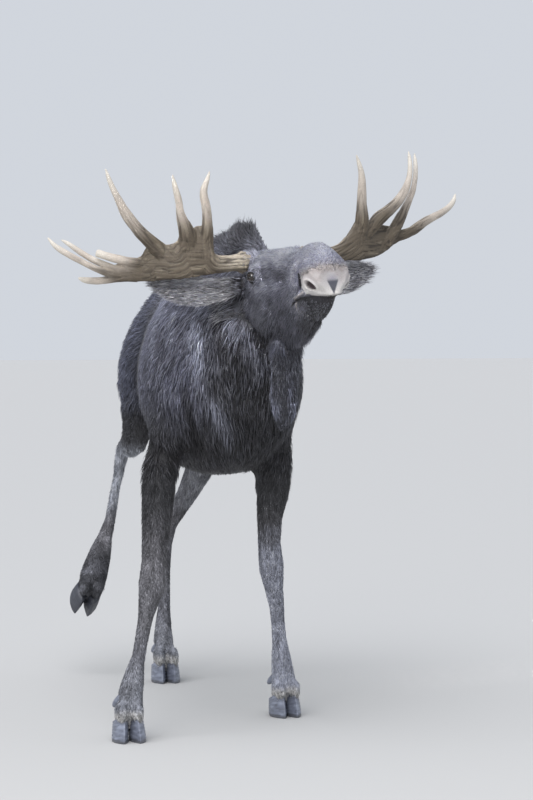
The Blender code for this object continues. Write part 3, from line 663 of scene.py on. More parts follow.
# Cheek bone, hollow before the eye, jaw muscle, hollow of the jaw, chin crease and vein.
FACE_FOLDS = [    # width, height, path
    (0.020, 0.0060, [(0.118, 0.060, -0.095), (0.104, 0.150, -0.115), (0.086, 0.230, -0.120)]),
    (0.020, -0.0060, [(0.105, 0.115, -0.060), (0.090, 0.180, -0.065), (0.078, 0.260, -0.070)]),
    (0.040, 0.0060, [(0.100, 0.000, -0.150), (0.092, 0.060, -0.210)]),
    (0.026, -0.0030, [(0.095, 0.135, -0.170), (0.080, 0.200, -0.200), (0.060, 0.280, -0.210)]),
    (0.016, -0.0090, [(0.000, 0.395, -0.240), (0.030, 0.385, -0.225), (0.050, 0.350, -0.205)]),
    (0.016, 0.0035, [(0.092, 0.120, -0.020), (0.075, 0.250, 0.000), (0.062, 0.350, 0.004)]),
]
CORNER_PIT, PIT_SIZE = np.array([0.066, 0.406, -0.120]), np.array([0.020, 0.016, 0.010])
NOSTRIL = np.array([0.074, 0.524, -0.112])
NOSTRIL_LONG = np.array([-0.417, 0.721, -0.553])
NOSTRIL_OUT = unit(np.array([0.81, 0.48, 0.015]))
NOSTRIL_WIDE = np.cross(NOSTRIL_OUT, NOSTRIL_LONG)


def mouth_height(fwd):
    return np.interp(fwd, MOUTH[:, 1], MOUTH[:, 2])


def pit_reach(a):
    """Under 1 in the dark pit behind the nostril wing."""
    return np.linalg.norm((a - CORNER_PIT) / PIT_SIZE, axis=1)


def nostril_share(a):
    """1 on the rim of the nostril, under 1 inside it."""
    d = a - NOSTRIL
    near = np.abs(d @ NOSTRIL_OUT) < 0.030
    r = np.hypot(d @ NOSTRIL_LONG / 0.0205, d @ NOSTRIL_WIDE / 0.0135)
    return np.where(near, r, OUTSIDE)


EYE_OUT = unit(np.array([0.80, 0.59, 0.08]))
EYE_FRONT = unit(np.array([0.0, 1.0, -0.22]) - EYE_OUT * (EYE_OUT @ [0.0, 1.0, -0.22]))
EYE_TOP = np.cross(EYE_FRONT, EYE_OUT)
EYE_TOP = EYE_TOP if EYE_TOP[2] > 0 else -EYE_TOP


def lid_share(a):
    """1 on the edge of the lids, under 1 in the opening; also how high on the eye."""
    d = a - EYE_IN_HEAD
    r = np.maximum(np.linalg.norm(d, axis=1), 1e-6)
    x, y, z = (d @ v / r for v in (EYE_FRONT, EYE_TOP, EYE_OUT))
    q = np.hypot(x / 0.80, y / np.where(y > 0, 0.58, 0.52))
    return np.where(z > 0.0, q, OUTSIDE), x, y


def sculpt_face(h, nrm):
    """New places of points of the face: lips, nostrils, bones and lids."""
    a = folded(h)
    side = np.sign(h[:, 0])
    fwd, up = a[:, 1], a[:, 2]
    muzzle = smooth(0.29, 0.34, fwd)
    push = np.zeros(len(a))
    push -= line_push(a, MOUTH, 0.0048, 0.014)
    push += line_push(a + [0, 0, -0.010], MOUTH, 0.0060, 0.0035)
    push -= line_push(a, ALAR, 0.0062, 0.021)
    push += line_push(a, FLANGE, 0.0125, 0.0130)
    push += line_push(a, LIP_FOLD, 0.0065, 0.0060)
    push -= line_push(a, [(0, 0.565, -0.135), (0, 0.565, -0.160)], 0.0030, 0.0045)
    push -= 0.014 * (1 - smooth(0.4, 1.2, pit_reach(a)))
    for width, height, path in FACE_FOLDS:
        push += line_push(a, path, width, height)
    r = nostril_share(a)
    push += 0.0030 * hump(r - 1.35, 0.28)
    push += muzzle * (0.0002 * noise(a, 0.007, 3) + 0.0006 * noise(a, 0.022, 4))
    jaw = smooth(0.000, 0.007, mouth_height(fwd) - up) * smooth(0.33, 0.42, fwd)
    a = a + nrm * push[:, None]
    a[:, 0] -= 0.009 * jaw * smooth(0.0, 0.03, a[:, 0])
    a[:, 1] -= 0.022 * jaw * smooth(0.45, 0.55, fwd)
    a -= (NOSTRIL_OUT * [1, 0.7, -0.2] * 0.024) * (1 - smooth(0.78, 1.10, r))[:, None]
    q, _, y = lid_share(a)
    d = a - EYE_IN_HEAD
    reach = np.linalg.norm(d, axis=1)
    near = 1 - smooth(0.036, 0.052, reach)
    lid = EYE_RADIUS + 0.0036 - 0.0016 * smooth(1.2, 1.0, q)
    fold = 0.0022 * hump(q - 1.34, 0.10) - 0.0024 * hump(q - 1.62, 0.12)
    fold += 0.0020 * hump(q - 2.0, 0.14) * (y < 0.1)
    out = np.maximum(reach, lid) + fold
    inside = 1 - smooth(0.93, 1.03, q)
    target = mix(out, EYE_RADIUS - 0.0045, inside)
    near = near * (q < OUTSIDE)
    a = a + d / np.maximum(reach, 1e-6)[:, None] * ((target - reach) * near)[:, None]
    return np.stack([a[:, 0] * np.where(side == 0, 1, side), a[:, 1], a[:, 2]], 1)


co = coords(skin.data)
h = to_head(co)
face = (h[:, 1] > 0.0) & (np.linalg.norm(h - [0, 0.25, -0.11], axis=1) < 0.45)
nrm = normals(skin.data)[face] @ HEAD_AXES.T
nrm[:, 0] *= np.sign(h[face, 0])
co[face] = from_head(sculpt_face(h[face], nrm))
set_coords(skin.data, co)
print("sculpted points", int(face.sum()))

# %% [markdown]
# The weld has far more points on the trunk than the coat needs, so flat parts are thinned out.
# A vertex group keeps the face and the lower legs fine, because their fur is short and
# the skin's own form shows through it.

# %% Thin out the trunk
SKIN_FACES = 186000


def thin_out(ob, keep, faces):
    """Collapse edges where `keep` is low until about `faces` triangles are left."""
    group = ob.vertex_groups.new(name="loose")
    weights = np.clip(1.0 - keep, 0.0, 1.0)
    for level in np.linspace(0, 1, 6):
        idx = np.nonzero(np.abs(weights - level) <= 0.1001)[0]
        group.add([int(i) for i in idx], float(level), "REPLACE")
    total = sum(len(p.vertices) - 2 for p in ob.data.polygons)
    applied(ob, ("DECIMATE", dict(ratio=faces / total, vertex_group="loose", vertex_group_factor=3.0,
                                  use_collapse_triangulate=True)))
    return len(ob.data.polygons)


co = coords(skin.data)
h = to_head(co)
fine = np.maximum(smooth(0.25, 0.32, h[:, 1]), 1 - smooth(0.045, 0.07, eye_reach(h)))
fine = np.maximum(fine, 0.45 * head_share(co))
fine = np.maximum(fine, 0.35 * leg_share(co))
print("skin faces", thin_out(skin, fine, SKIN_FACES))

# %% [markdown]
# ## Ears
# A moose ear is a big cupped leaf. Each is lofted along a curve from root to tip, thin at the
# rim, with the hollow facing forward, and its root sinks into the skin of the head.

# %% Ears
EAR_CURVES = {     # root, belly of the curve, tip, size of the leaf
    1: ((0.104, -0.030, -0.066), (0.250, -0.010, -0.094), (0.402, -0.054, -0.058), 1.05),
    -1: ((-0.104, -0.030, -0.066), (-0.300, -0.050, -0.112), (-0.440, -0.108, -0.026), 0.88),
}
EAR_WIDTH = [0.026, 0.033, 0.045, 0.056, 0.060, 0.059, 0.051, 0.036, 0.010]
EAR_CUP = [0.000, 0.016, 0.030, 0.034, 0.032, 0.026, 0.017, 0.008, 0.001]
EAR_THICK = [0.020, 0.014, 0.007, 0.0045, 0.0035, 0.003, 0.0025, 0.002, 0.0015]


def ear_leaf(side, steps=44, across=22):
    p0, p1, p2 = from_head(np.array(EAR_CURVES[side][:3]))
    size = EAR_CURVES[side][3]
    forward, up = HEAD_AXES[1:]
    rings = []
    for t in np.linspace(0, 1, steps):
        p = p0 * (1 - t) ** 2 + p1 * 2 * t * (1 - t) + p2 * t * t
        d = unit(mix(p1 - p0, p2 - p1, t))
        wide = unit((up * 0.95 + forward * 0.30) - d * (d @ (up * 0.95 + forward * 0.30)))
        face = np.cross(d, wide)
        face = face if face @ forward > 0 else -face
        at = t * 8
        w, c, thick = (np.interp(at, range(9), v) for v in (EAR_WIDTH, EAR_CUP, EAR_THICK))
        a = np.linspace(-1, 1, across)
        edge = np.sqrt(np.maximum(1.0 - 0.92 * a * a, 0.02))[:, None]
        mid = p + wide * (w * size * a)[:, None] + face * (c * a * a - c * 0.5)[:, None]
        rings.append(np.vstack([mid + face * thick * edge, (mid - face * thick * edge)[::-1]]))
    return loft(rings)


ear_meshes = [(v, [halved(f)]) for v, f in (ear_leaf(1), ear_leaf(-1))]
skin.data = joined("moose_skin", [as_arrays(skin.data)] + ear_meshes)
skin.name = "moose_skin"
print("skin with ears", len(skin.data.polygons))

# %% [markdown]
# ## Markings
# Skin and hair take their colour from one function of place, so bald and furry spots agree.
# A bull in autumn is charcoal on the flanks, nearly black on chest and belly, frosted grey on
# back, crown and legs, with a whitish muzzle. Light and shade are painted in as well: a lighter
# blue grey where the skin faces up or lies on the near side, and dark in creases, hollows, the
# mouth, round the bell and under the jaw. Colours are written as sRGB hex values.

# %% Colour tools


def linear(code):
    """sRGB hex to linear colour, the one place where this is done."""
    v = np.array([int(code[i:i + 2], 16) for i in (1, 3, 5)]) / 255.0
    return np.where(v <= 0.04045, v / 12.92, ((v + 0.055) / 1.055) ** 2.4)


def blend(colour, code, share):
    return colour + (linear(code) - colour) * np.clip(share, 0, 1)[:, None]


def pad_top(fwd):
    return np.interp(fwd, [0.42, 0.457, 0.496, 0.526, 0.549, 0.60],
                     [-0.096, -0.074, -0.061, -0.056, -0.050, -0.048])


def pad_share(h):
    """The whitish pad of the muzzle: 1 inside, 0 outside."""
    a = folded(h)
    top = pad_top(a[:, 1])
    rear = np.interp(a[:, 2], [-0.160, -0.150, -0.141, -0.116, -0.070, -0.030],
                     [0.480, 0.470, 0.455, 0.432, 0.449, 0.47])
    rough = 0.003 * noise(h, 0.012, 11)
    return (smooth(-0.008, 0.006, top + 2.0 * rough - a[:, 2])
            * smooth(-0.0015, 0.0015, a[:, 2] - mouth_height(a[:, 1]))
            * smooth(-0.004, 0.004, a[:, 1] - rear + rough))


def lip_share(a):
    """The dark bare lower lip."""
    drop = mouth_height(a[:, 1]) - a[:, 2]
    ragged = drop + 0.004 * noise(a, 0.012, 12)
    return smooth(-0.002, 0.002, drop) * smooth(0.034, 0.022, ragged) * smooth(0.385, 0.42, a[:, 1])


def triangle_share(h):
    """The bare dark spot between the nostrils."""
    wide = 0.0195 * np.clip((h[:, 2] + 0.151) / 0.046, 0, 1.05)
    inside = smooth(-0.002, 0.0015, wide - np.abs(h[:, 0]))
    upright = smooth(-0.095, -0.108, h[:, 2]) * smooth(-0.1535, -0.150, h[:, 2])
    return inside * upright * (h[:, 1] > 0.52)


# %% Body and leg markings
# Streaks where the hair parts and shows its pale tips.
PALE_HAIR = [     # width, strength, path
    (0.034, 0.95, [(-0.095, -0.740, 1.64), (-0.112, -0.765, 1.60), (-0.124, -0.800, 1.54),
                   (-0.130, -0.835, 1.46), (-0.118, -0.855, 1.39)]),
    (0.026, 0.75, [(-0.045, -0.870, 1.64), (-0.030, -0.895, 1.57), (-0.010, -0.915, 1.50)]),
    (0.028, 0.8, [(0.022, -0.940, 1.53), (0.060, -0.945, 1.46), (0.095, -0.930, 1.40)]),
    (0.022, 0.6, [(-0.203, -0.468, 1.61), (-0.241, -0.547, 1.52), (-0.264, -0.599, 1.43)]),
    (0.022, 0.6, [(-0.179, -0.641, 1.59), (-0.210, -0.688, 1.49)]),
    (0.030, 0.4, [(-0.105, -0.870, 1.28), (-0.060, -0.885, 1.20), (-0.030, -0.875, 1.13)]),
]


def pale_share(q):
    """How much the pale streaks show at each place."""
    total = np.zeros(len(q))
    for width, strength, path in PALE_HAIR:
        total = np.maximum(total, strength * hump(off_path(q, path), width))
    return total


def crease_shade(q):
    """1 in the depth of a fold, where shade is painted, 0 away from it."""
    total = np.zeros(len(q))
    for width, height, path in FOLDS:
        if height < 0:
            off = np.maximum(off_path(q, path) + 0.8 * height, 0.0)
            total = np.maximum(total, hump(off, 0.50 * width))
    return total


def body_colour(p, nrm):
    q = in_model(p)
    z = q[:, 2]
    c = np.tile(linear("#3b3b40"), (len(p), 1))
    c = blend(c, "#2c2b2e", 1 - smooth(0.98, 1.25, z))
    # Painted light: the near side of neck, shoulder and flank is painted a lighter blue grey, as lit by
    # the sky.
    skylit_side = smooth(-0.06, -0.20, q[:, 0]) * smooth(1.10, 1.40, z) * smooth(0.10, -0.20, q[:, 1])
    c = blend(c, "#6d6f82", skylit_side * (0.75 + 0.35 * noise(p * [1.0, 1.0, 0.5], 0.10, 23)))
    # Lighter high on the trunk: partly frosted grey hair, partly painted skylight.
    c = blend(c, "#4f4e56", smooth(1.36, 1.62, z) * 0.75)
    # Painted highlight: skin facing up is painted lighter, as lit by the sky.
    c = blend(c, "#6f717d", smooth(0.15, 0.85, nrm[:, 2]) * smooth(1.30, 1.60, z) * 0.75)
    # Painted light: higher on the near side of the neck the blue grey is lighter still, against the
    # ear's shadow.
    c = blend(c, "#85889c", skylit_side * smooth(1.46, 1.60, z) * 0.6)
    # Painted light: the haunch is painted a lighter blue grey, as lit by the sky.
    c = blend(c, "#5c6074", smooth(0.35, 0.55, q[:, 1]) * smooth(1.10, 1.30, z) * 0.7)
    strands = 1.0 + 0.5 * noise(p * [1.0, 1.0, 0.3], 0.016, 24)
    c = blend(c, "#a4a8ba", np.clip(pale_share(q) * strands, 0, 1))
    # Painted shade: the depths of the body's creases are darkened.
    c = blend(c, "#232225", crease_shade(q) * 0.65)
    chest = smooth(-0.70, -0.84, q[:, 1]) * smooth(1.55, 1.35, z)
    c = blend(c, "#1f1f22", chest * smooth(-0.10, 0.00, q[:, 0]) * 0.75)
    c = blend(c, "#2d2b2c", crest_share(p) * 0.85)
    blotch = noise(p, 0.16, 21) * 0.5 + noise(p, 0.07, 22) * 0.5
    return c * (1.0 + 0.30 * blotch)[:, None]


LEG_TONES = [    # height, colour
    (1.02, "#39393c"), (0.86, "#444447"), (0.72, "#5c5b5f"), (0.58, "#7c7b80"), (0.44, "#85858a"),
    (0.30, "#83848c"), (0.20, "#8e9098"), (0.12, "#8d9099"), (0.05, "#868a94")]


def cuff_share(p):
    """1 in the pale fringe of hair over the hooves."""
    total = np.zeros(len(p))
    for spec in FEET.values():
        near, f = near_foot(foot_turn(spec), p)
        total = np.maximum(total, near * smooth(0.050, 0.020, f[:, 2] + 0.006 * noise(p, 0.02, 35)))
    return total


def leg_colour(p):
    q = in_model(p)
    z = q[:, 2] + 0.03 * noise(p, 0.05, 31)
    heights = [t[0] for t in LEG_TONES][::-1]
    tones = np.array([linear(t[1]) for t in LEG_TONES][::-1])
    c = np.stack([np.interp(z, heights, tones[:, k]) for k in range(3)], 1)
    hind = smooth(0.10, 0.30, q[:, 1])
    right = smooth(-0.02, -0.12, q[:, 0])
    lifted = hind * right * smooth(-0.10, -0.16, q[:, 0])
    pale = lifted * smooth(0.62, 0.78, z) * (1 - smooth(0.98, 1.06, z))
    c = blend(c, "#b4b8c2", pale * 0.95)
    c = blend(c, "#3a3b40", lifted * smooth(0.60, 0.48, z) * 0.9)
    c = blend(c, "#5b5b62", hind * (1 - right) * smooth(0.75, 0.5, z) * smooth(0.16, 0.24, z) * 0.7)
    c = blend(c, "#8f9097", hind * (1 - right) * smooth(0.70, 0.80, z) * smooth(1.0, 0.9, z) * 0.8)
    c = blend(c, "#a9adbd", smooth(0.05, 0.15, q[:, 0]) * (1 - hind) * smooth(0.78, 0.62, z) * 0.70)
    shin = smooth(0.62, 0.50, z) * smooth(0.20, 0.34, z)
    c = blend(c, "#434347", smooth(0.05, -0.05, q[:, 0]) * (1 - hind) * shin * 0.38)
    patches = smooth(0.0, -0.5, noise(p, 0.08, 34))
    c = blend(c, "#8c8d96", lifted * smooth(0.50, 0.42, z) * patches * 0.8)
    streaks = noise(p * [1.0, 1.0, 0.22], 0.014, 33)
    c = c * (1.0 + 0.42 * streaks)[:, None]
    c = blend(c, "#c9c7c5", cuff_share(p) * smooth(0.9, 0.2, lifted))
    return blend(c, "#1d1b1c", (q[:, 2] < 0.060).astype(float))


# %% Face markings


def face_colour(p, nrm):
    h = to_head(p)
    a = folded(h)
    fwd, up = a[:, 1], a[:, 2]
    c = np.tile(linear("#7b7b87"), (len(p), 1))
    c = blend(c, "#38373b", smooth(-0.12, -0.24, up) * 0.85)
    hollow_cheek = smooth(0.10, 0.20, fwd) * smooth(0.34, 0.24, fwd) * smooth(-0.02, -0.10, up)
    c = blend(c, "#5d5d6a", hollow_cheek * 0.6)
    # Painted highlight: the face is painted a lighter blue grey where it faces up, less so on the
    # temples.
    temple = smooth(0.03, 0.07, a[:, 0]) * smooth(0.08, 0.03, fwd)
    c = blend(c, "#c6c8dc", smooth(0.00, 0.75, nrm[:, 2]) * (0.92 - 0.50 * temple))
    # Painted light: the sides of the nose are painted a light blue grey where they face sideways.
    flank = smooth(0.28, 0.42, fwd) * smooth(-0.15, -0.08, up)
    c = blend(c, "#9798ae", flank * smooth(0.9, 0.3, nrm[:, 2]))
    c = c * (1.0 + 0.50 * noise(h * [1.0, 0.40, 0.7], 0.018, 43) * smooth(0.42, 0.34, fwd)
             + 0.25 * noise(h, 0.045, 45))[:, None]
    band = off_path(a, [(0.080, 0.405, -0.045), (0.072, 0.470, -0.010), (0.0, 0.480, 0.020)])
    c = blend(c, "#b5b3bd", hump(band, 0.020) * 0.5)
    # Painted highlight: the ridge behind the nostril wing is painted pale lavender.
    c = blend(c, "#b0afc0", hump(off_cut(a, FLANGE, -0.013), 0.015) * 0.75)
    # Painted shade: the far nose wing, away from the lamps, is painted darker.
    shaded_far_wing = smooth(0.0, 0.05, h[:, 0]) * smooth(0.36, 0.42, fwd) * smooth(-0.09, -0.05, up)
    c = blend(c, "#75758c", shaded_far_wing * 0.65)
    c = blend(c, "#26252a", smooth(0.000, 0.004, mouth_height(fwd) - up) * smooth(0.34, 0.40, fwd))
    worn = smooth(0.3, 0.9, noise(h * [0.5, 1.0, 1.0], 0.020, 46))
    c = blend(c, "#4b4b52", lip_share(a) * worn * 0.7)
    c = blend(c, "#2a2a2b", smooth(-0.185, -0.205, up) * smooth(0.30, 0.40, fwd) * 0.8)
    c = blend(c, "#b3adab", hump(off_cut(a, LIP_FOLD, -0.007), 0.0060) * 0.90)
    pad = pad_share(h)
    above = smooth(0.030, 0.0, up - pad_top(fwd) + 0.010 * noise(h, 0.014, 47))
    c = blend(c, "#aeaab2", above * smooth(0.455, 0.475, fwd) * (up > -0.12) * 0.85)
    mottle = 0.5 + 0.5 * noise(h, 0.016, 48)
    c = blend(c, "#b7b3b3", pad)
    c = blend(c, "#a08f8a", pad * mottle * smooth(-0.125, -0.085, up) * 0.45)
    c = blend(c, "#8f8783", pad * smooth(-0.085, -0.055, up + 0.012 * noise(h, 0.018, 44)) * 0.75)
    c = blend(c, "#cbc8c5", pad * smooth(-0.095, -0.130, up) * 0.8)
    tip = np.linalg.norm(h - [0, 0.56, -0.098], axis=1)
    c = blend(c, "#8f8f9c", pad * hump(tip, 0.020) * 0.7)
    c = blend(c, "#3e404c", triangle_share(h) * 0.92)
    r = nostril_share(a)
    c = blend(c, "#d2cecb", pad * hump(r - 1.35, 0.25) * 0.6)
    c = blend(c, "#4a4044", 1 - smooth(0.80, 1.02, r))
    # Painted shade: the hollow behind the nostril wing and the pit at its corner are painted near
    # black.
    wing_cut = off_cut(a, HOLLOW, 0.024)
    c = blend(c, "#171418", np.clip(1.4 * hump(wing_cut, 0.0065), 0, 1))
    c = blend(c, "#232126", 1 - smooth(0.6, 1.15, pit_reach(a)))
    # Painted shade: the slit of the mouth is painted near black.
    mouth_cut = off_cut(a, MOUTH, 0.022, (-0.3, -0.9, -0.1))
    c = blend(c, "#121011", np.clip(1.4 * hump(mouth_cut, 0.0042), 0, 1))
    q, x, y = lid_share(a)
    near = 1 - smooth(0.034, 0.046, eye_reach(h))
    c = blend(c, "#8d8994", near * hump(q - 2.0, 0.22) * (x > 0.0) * 0.8)
    rim = (1 - smooth(EYE_RADIUS + 0.0042, EYE_RADIUS + 0.0062, eye_reach(h))) * (q < OUTSIDE)
    c = blend(c, "#151213", rim)
    below_eye = smooth(-0.25, -0.45, y) * smooth(0.3, 0.0, np.abs(x))
    c = blend(c, "#9c8084", near * hump(q - 1.04, 0.07) * below_eye * 0.7)
    return c * (1.0 + 0.10 * noise(p, 0.03, 41) + 0.06 * noise(p, 0.010, 42))[:, None]


def in_ear(p):
    """1 on the ears, 0 elsewhere."""
    h = to_head(p)
    return ((np.abs(h[:, 0]) > 0.120) & (h[:, 1] < 0.06) & (h[:, 1] > -0.16)
            & (h[:, 2] < 0.0) & (h[:, 2] > -0.19) & (in_model(p)[:, 2] > 1.5)).astype(float)


JAW_SHADOW_LINE = [(-0.020, -0.880, 1.66), (0.020, -0.922, 1.58), (0.060, -0.950, 1.51), (0.100, -0.955, 1.45)]


def coat_colour(p, nrm):
    """The colour of skin and hair anywhere: body, legs, face, bell and ears."""
    body_c, leg_c, face_c = body_colour(p, nrm), leg_colour(p), face_colour(p, nrm)
    legs, heads = leg_share(p)[:, None], head_share(p)[:, None]
    c = mix(mix(body_c, leg_c, legs), face_c, heads)
    bell_near = bell_reach(p)
    below = smooth(1.52, 1.46, in_model(p)[:, 2])
    # Painted shadow: chest and neck round the bell are darkened.
    c = blend(c, "#19191b", smooth(0.145, 0.085, bell_near) * below * 0.8)
    in_bell = (1 - smooth(0.05, 0.07, bell_near)) * below
    rib = smooth(-0.2, 0.7, noise(p * [1.0, 1.0, 0.25], 0.022, 25))
    c = blend(c, "#3d3e46", in_bell)
    c = blend(c, "#7d8092", in_bell * rib * 0.8)
    # Painted shadow of the jaw: a dark band where the throat meets the neck.
    jaw_shadow = off_path(in_model(p), JAW_SHADOW_LINE)
    c = blend(c, "#1c1b1e", hump(np.maximum(jaw_shadow - 0.006, 0), 0.013) * 0.75)
    h = to_head(p)
    ears = in_ear(p)
    inner = smooth(-0.1, 0.3, nrm @ HEAD_AXES[1])
    c = blend(c, "#6f6f79", ears)
    c = blend(c, "#a3a2a4", ears * inner * 0.8)
    c = blend(c, "#38373b", ears * inner * smooth(0.18, 0.13, np.abs(h[:, 0])))
    return np.clip(c, 0.0, 1.0)


def paint(me, colours, name="Coat"):
    """Store one colour per point under the name that a finish reads it by."""
    layer = me.color_attributes.new(name, "FLOAT_COLOR", "POINT")
    values = np.ones((len(colours), 4), np.float32)
    values[:, :3] = colours
    layer.data.foreach_set("color", values.ravel())


skin_co, skin_no = coords(skin.data), normals(skin.data)
cover = 0.50 + 0.35 * leg_share(skin_co)
snout = to_head(skin_co)
soft = np.maximum(smooth(0.36, 0.44, snout[:, 1]), pad_share(snout))
cover += head_share(skin_co) * (0.08 + 0.42 * soft)
paint(skin.data, coat_colour(skin_co, skin_no) * cover[:, None])
print("painted skin")

# %% [markdown]
# ## An unwrap of the skin
# A flat map is laid out for the hair's colours. The map is made from the skin itself, and every
# tuft gets a tiny patch of it where its root stands. Faces are grouped by region and by which
# way they look, each group is laid flat, and the groups are packed side by side.

# %% Unwrap the skin


def skin_unwrap(me):
    """One flat place per face corner, as charts by facing direction and region."""
    tri = np.empty(len(me.loops), np.int32)
    me.loops.foreach_get("vertex_index", tri)
    tri = tri.reshape(-1, 3)
    co = coords(me)
    mid = co[tri].mean(1)
    n_smooth = unit(normals(me)[tri].mean(1))
    sides = np.array([(1, 0, 0), (-1, 0, 0), (0, 1, 0), (0, -1, 0), (0, 0, 1), (0, 0, -1)], float)
    facing = np.argmax(n_smooth @ sides.T, axis=1)
    q = in_model(mid)
    region = np.where(q[:, 2] < 1.0, 1 + (q[:, 0] > 0.03) + 2 * (q[:, 1] > 0.2), 0)
    region = np.where(to_head(mid)[:, 1] > -0.10, np.where(q[:, 2] > 1.30, 5, region), region)
    flat_axes = [(1, 2), (1, 2), (0, 2), (0, 2), (0, 1), (0, 1)]
    charts = []
    for r in range(6):
        for k in range(6):
            pick = np.nonzero((region == r) & (facing == k))[0]
            if len(pick):
                pts = co[tri[pick]][:, :, list(flat_axes[k])]
                low = pts.reshape(-1, 2).min(0)
                charts.append((pick, pts - low, pts.reshape(-1, 2).max(0) - low))
    charts.sort(key=lambda c: -c[2][1])
    uv = np.zeros((len(tri), 3, 2))
    width, gap, x, y, row = 3.4, 0.02, 0.0, 0.0, 0.0
    for pick, pts, size in charts:
        if x + size[0] > width:
            x, y, row = 0.0, y + row + gap, 0.0
        uv[pick] = pts + [x, y]
        x += size[0] + gap
        row = max(row, size[1])
    return tri, uv / max(width, y + row) * 0.99 + 0.005


skin_tri, skin_uv = skin_unwrap(skin.data)
layer = skin.data.uv_layers.new(name="OFBake")
layer.data.foreach_set("uv", skin_uv.astype(np.float32).ravel())
print("unwrap spans", skin_uv.min().round(3), skin_uv.max().round(3))

# %% [markdown]
# ## Which way the hair lies
# Hair streams back from the nose, over the cheeks and down the neck, back along the trunk and
# down the legs. `lie_of` gives that stream anywhere; it is then laid flat onto the skin.

# %% The lie of the coat


def lie_of(p, nrm):
    """Unit directions in which the hair points, flat on the skin."""
    q = in_model(p)
    n = len(p)
    back, down = np.array([0, 1.0, 0]), np.array([0, 0, -1.0])
    shoulder = smooth(-0.10, -0.50, q[:, 1]) * smooth(1.84, 1.66, q[:, 2])
    steep = np.maximum(smooth(1.72, 1.15, q[:, 2]), shoulder)[:, None]
    flow = back * (0.95 - 0.45 * steep) + down * (0.18 + 0.80 * steep)
    front = smooth(-0.35, -0.80, q[:, 1])[:, None]
    to_mid = np.stack([-(q[:, 0] - 0.05), np.zeros(n), np.zeros(n)], 1) * 1.6
    flow = mix(flow, down * 0.95 + back * 0.30 + to_mid, front)
    under = smooth(-0.35, -0.8, nrm[:, 2])[:, None] * (1 - front)
    flow = mix(flow, back * 0.9 + down * 0.3, under)
    legs = leg_share(p)[:, None]
    hind = smooth(0.15, 0.35, q[:, 1])[:, None]
    flow = mix(flow, down + back * 0.25 * (1 - hind) * 0.4 + back * 0.20 * hind, legs)
    crest = crest_share(p)[:, None]
    aside = off_crest_line(q)[:, None] * np.array([[7.0, 0, 0]])
    flow = mix(flow, back * 0.70 + np.array([0, 0, 0.65]) + aside, crest)
    h = to_head(p)
    left, forward, up = HEAD_AXES
    low = smooth(-0.02, -0.20, h[:, 2])[:, None]
    face_flow = -forward * (0.95 - 0.35 * low) - up * (0.25 + 0.65 * low)
    heads = head_share(p)[:, None]
    flow = mix(flow, face_flow, heads)
    hanging = ((1 - smooth(0.05, 0.09, bell_reach(p))) * smooth(1.56, 1.46, q[:, 2]))[:, None]
    flow = mix(flow, down, hanging)
    tails = tail_share(p)[:, None]
    flow = mix(flow, down + back * 0.15, tails)
    flow = np.where(in_ear(p)[:, None] > 0, left * np.sign(h[:, 0:1]) + up * 0.15, flow)
    for spec in FEET.values():
        m = foot_turn(spec)
        near, f = near_foot(m, p)
        flow = np.where((near & (f[:, 2] < 0.05))[:, None], -m[:3, 2] + 0.25 * m[:3, 0], flow)
    sway = np.stack([noise(p, 0.10, s) for s in (51, 52, 53)], 1)
    clump = np.stack([noise(p, 0.026, s) for s in (54, 55, 56)], 1)
    flow = unit(flow) + 0.20 * sway + 0.20 * clump
    return unit(flow - nrm * np.sum(flow * nrm, 1, keepdims=True))


def hair_length(p):
    """Long on the mane and chest, shorter on legs and tail, shortest on the muzzle."""
    q = in_model(p)
    length = np.full(len(p), 0.048)
    length += 0.016 * smooth(-0.60, -0.84, q[:, 1]) * smooth(1.0, 1.2, q[:, 2])
    length += 0.010 * smooth(1.10, 0.98, q[:, 2]) * smooth(0.30, 0.10, q[:, 1])
    length -= 0.026 * smooth(1.20, 1.08, q[:, 2]) * smooth(0.20, 0.35, q[:, 1])
    length = mix(length, 0.015 + 0.016 * smooth(0.55, 0.95, q[:, 2]), leg_share(p))
    length = np.maximum(length, 0.095 * crest_share(p))
    h = to_head(p)
    face = 0.010 + 0.013 * smooth(0.38, 0.26, h[:, 1])
    face += 0.016 * smooth(0.32, 0.10, h[:, 1]) * smooth(0.00, -0.16, h[:, 2])
    face += 0.022 * smooth(-0.20, -0.26, h[:, 2]) * smooth(0.50, 0.38, h[:, 1])
    face *= 1 - 0.45 * smooth(0.075, 0.045, eye_reach(h))
    length = mix(length, face, head_share(p))
    hanging = (1 - smooth(0.050, 0.075, bell_reach(p))) * smooth(1.50, 1.42, q[:, 2])
    length = mix(mix(length, 0.030, hanging), 0.034, tail_share(p))
    return np.maximum(length, 0.026 * cuff_share(p))


def hair_lift(p):
    """How far hairs stand off the skin, in radians."""
    lift = np.full(len(p), 0.36)
    lift = mix(mix(lift, 0.28, leg_share(p)), 0.42, head_share(p))
    return (lift + 0.50 * crest_share(p)) * (1 - 0.55 * cuff_share(p))


print("lie of the coat ready")

# %% [markdown]
# ## Tufts
# Game engines and printers can't use hair strands, so each lock is a small closed spike.
# A long lock has a bend in it and ten triangles; a short one is straight and has four.
# Roots are spread evenly over the skin by walking along its faces and adding up their area.

# %% Scatter roots


def scatter(weight, count, rng):
    """Roots spread over skin faces in proportion to weight; returns place, normal, map place."""
    total = np.cumsum(weight)
    spots = (np.arange(count) + rng.random(count)) / count * total[-1]
    face = np.minimum(np.searchsorted(total, spots), len(weight) - 1)
    u, v = rng.random(count), rng.random(count)
    flip = u + v > 1
    u[flip], v[flip] = 1 - u[flip], 1 - v[flip]
    w = np.stack([1 - u - v, u, v], 1)[:, :, None]
    tri = skin_tri[face]
    return (skin_co[tri] * w).sum(1), unit((skin_no[tri] * w).sum(1)), (skin_uv[face] * w).sum(1)


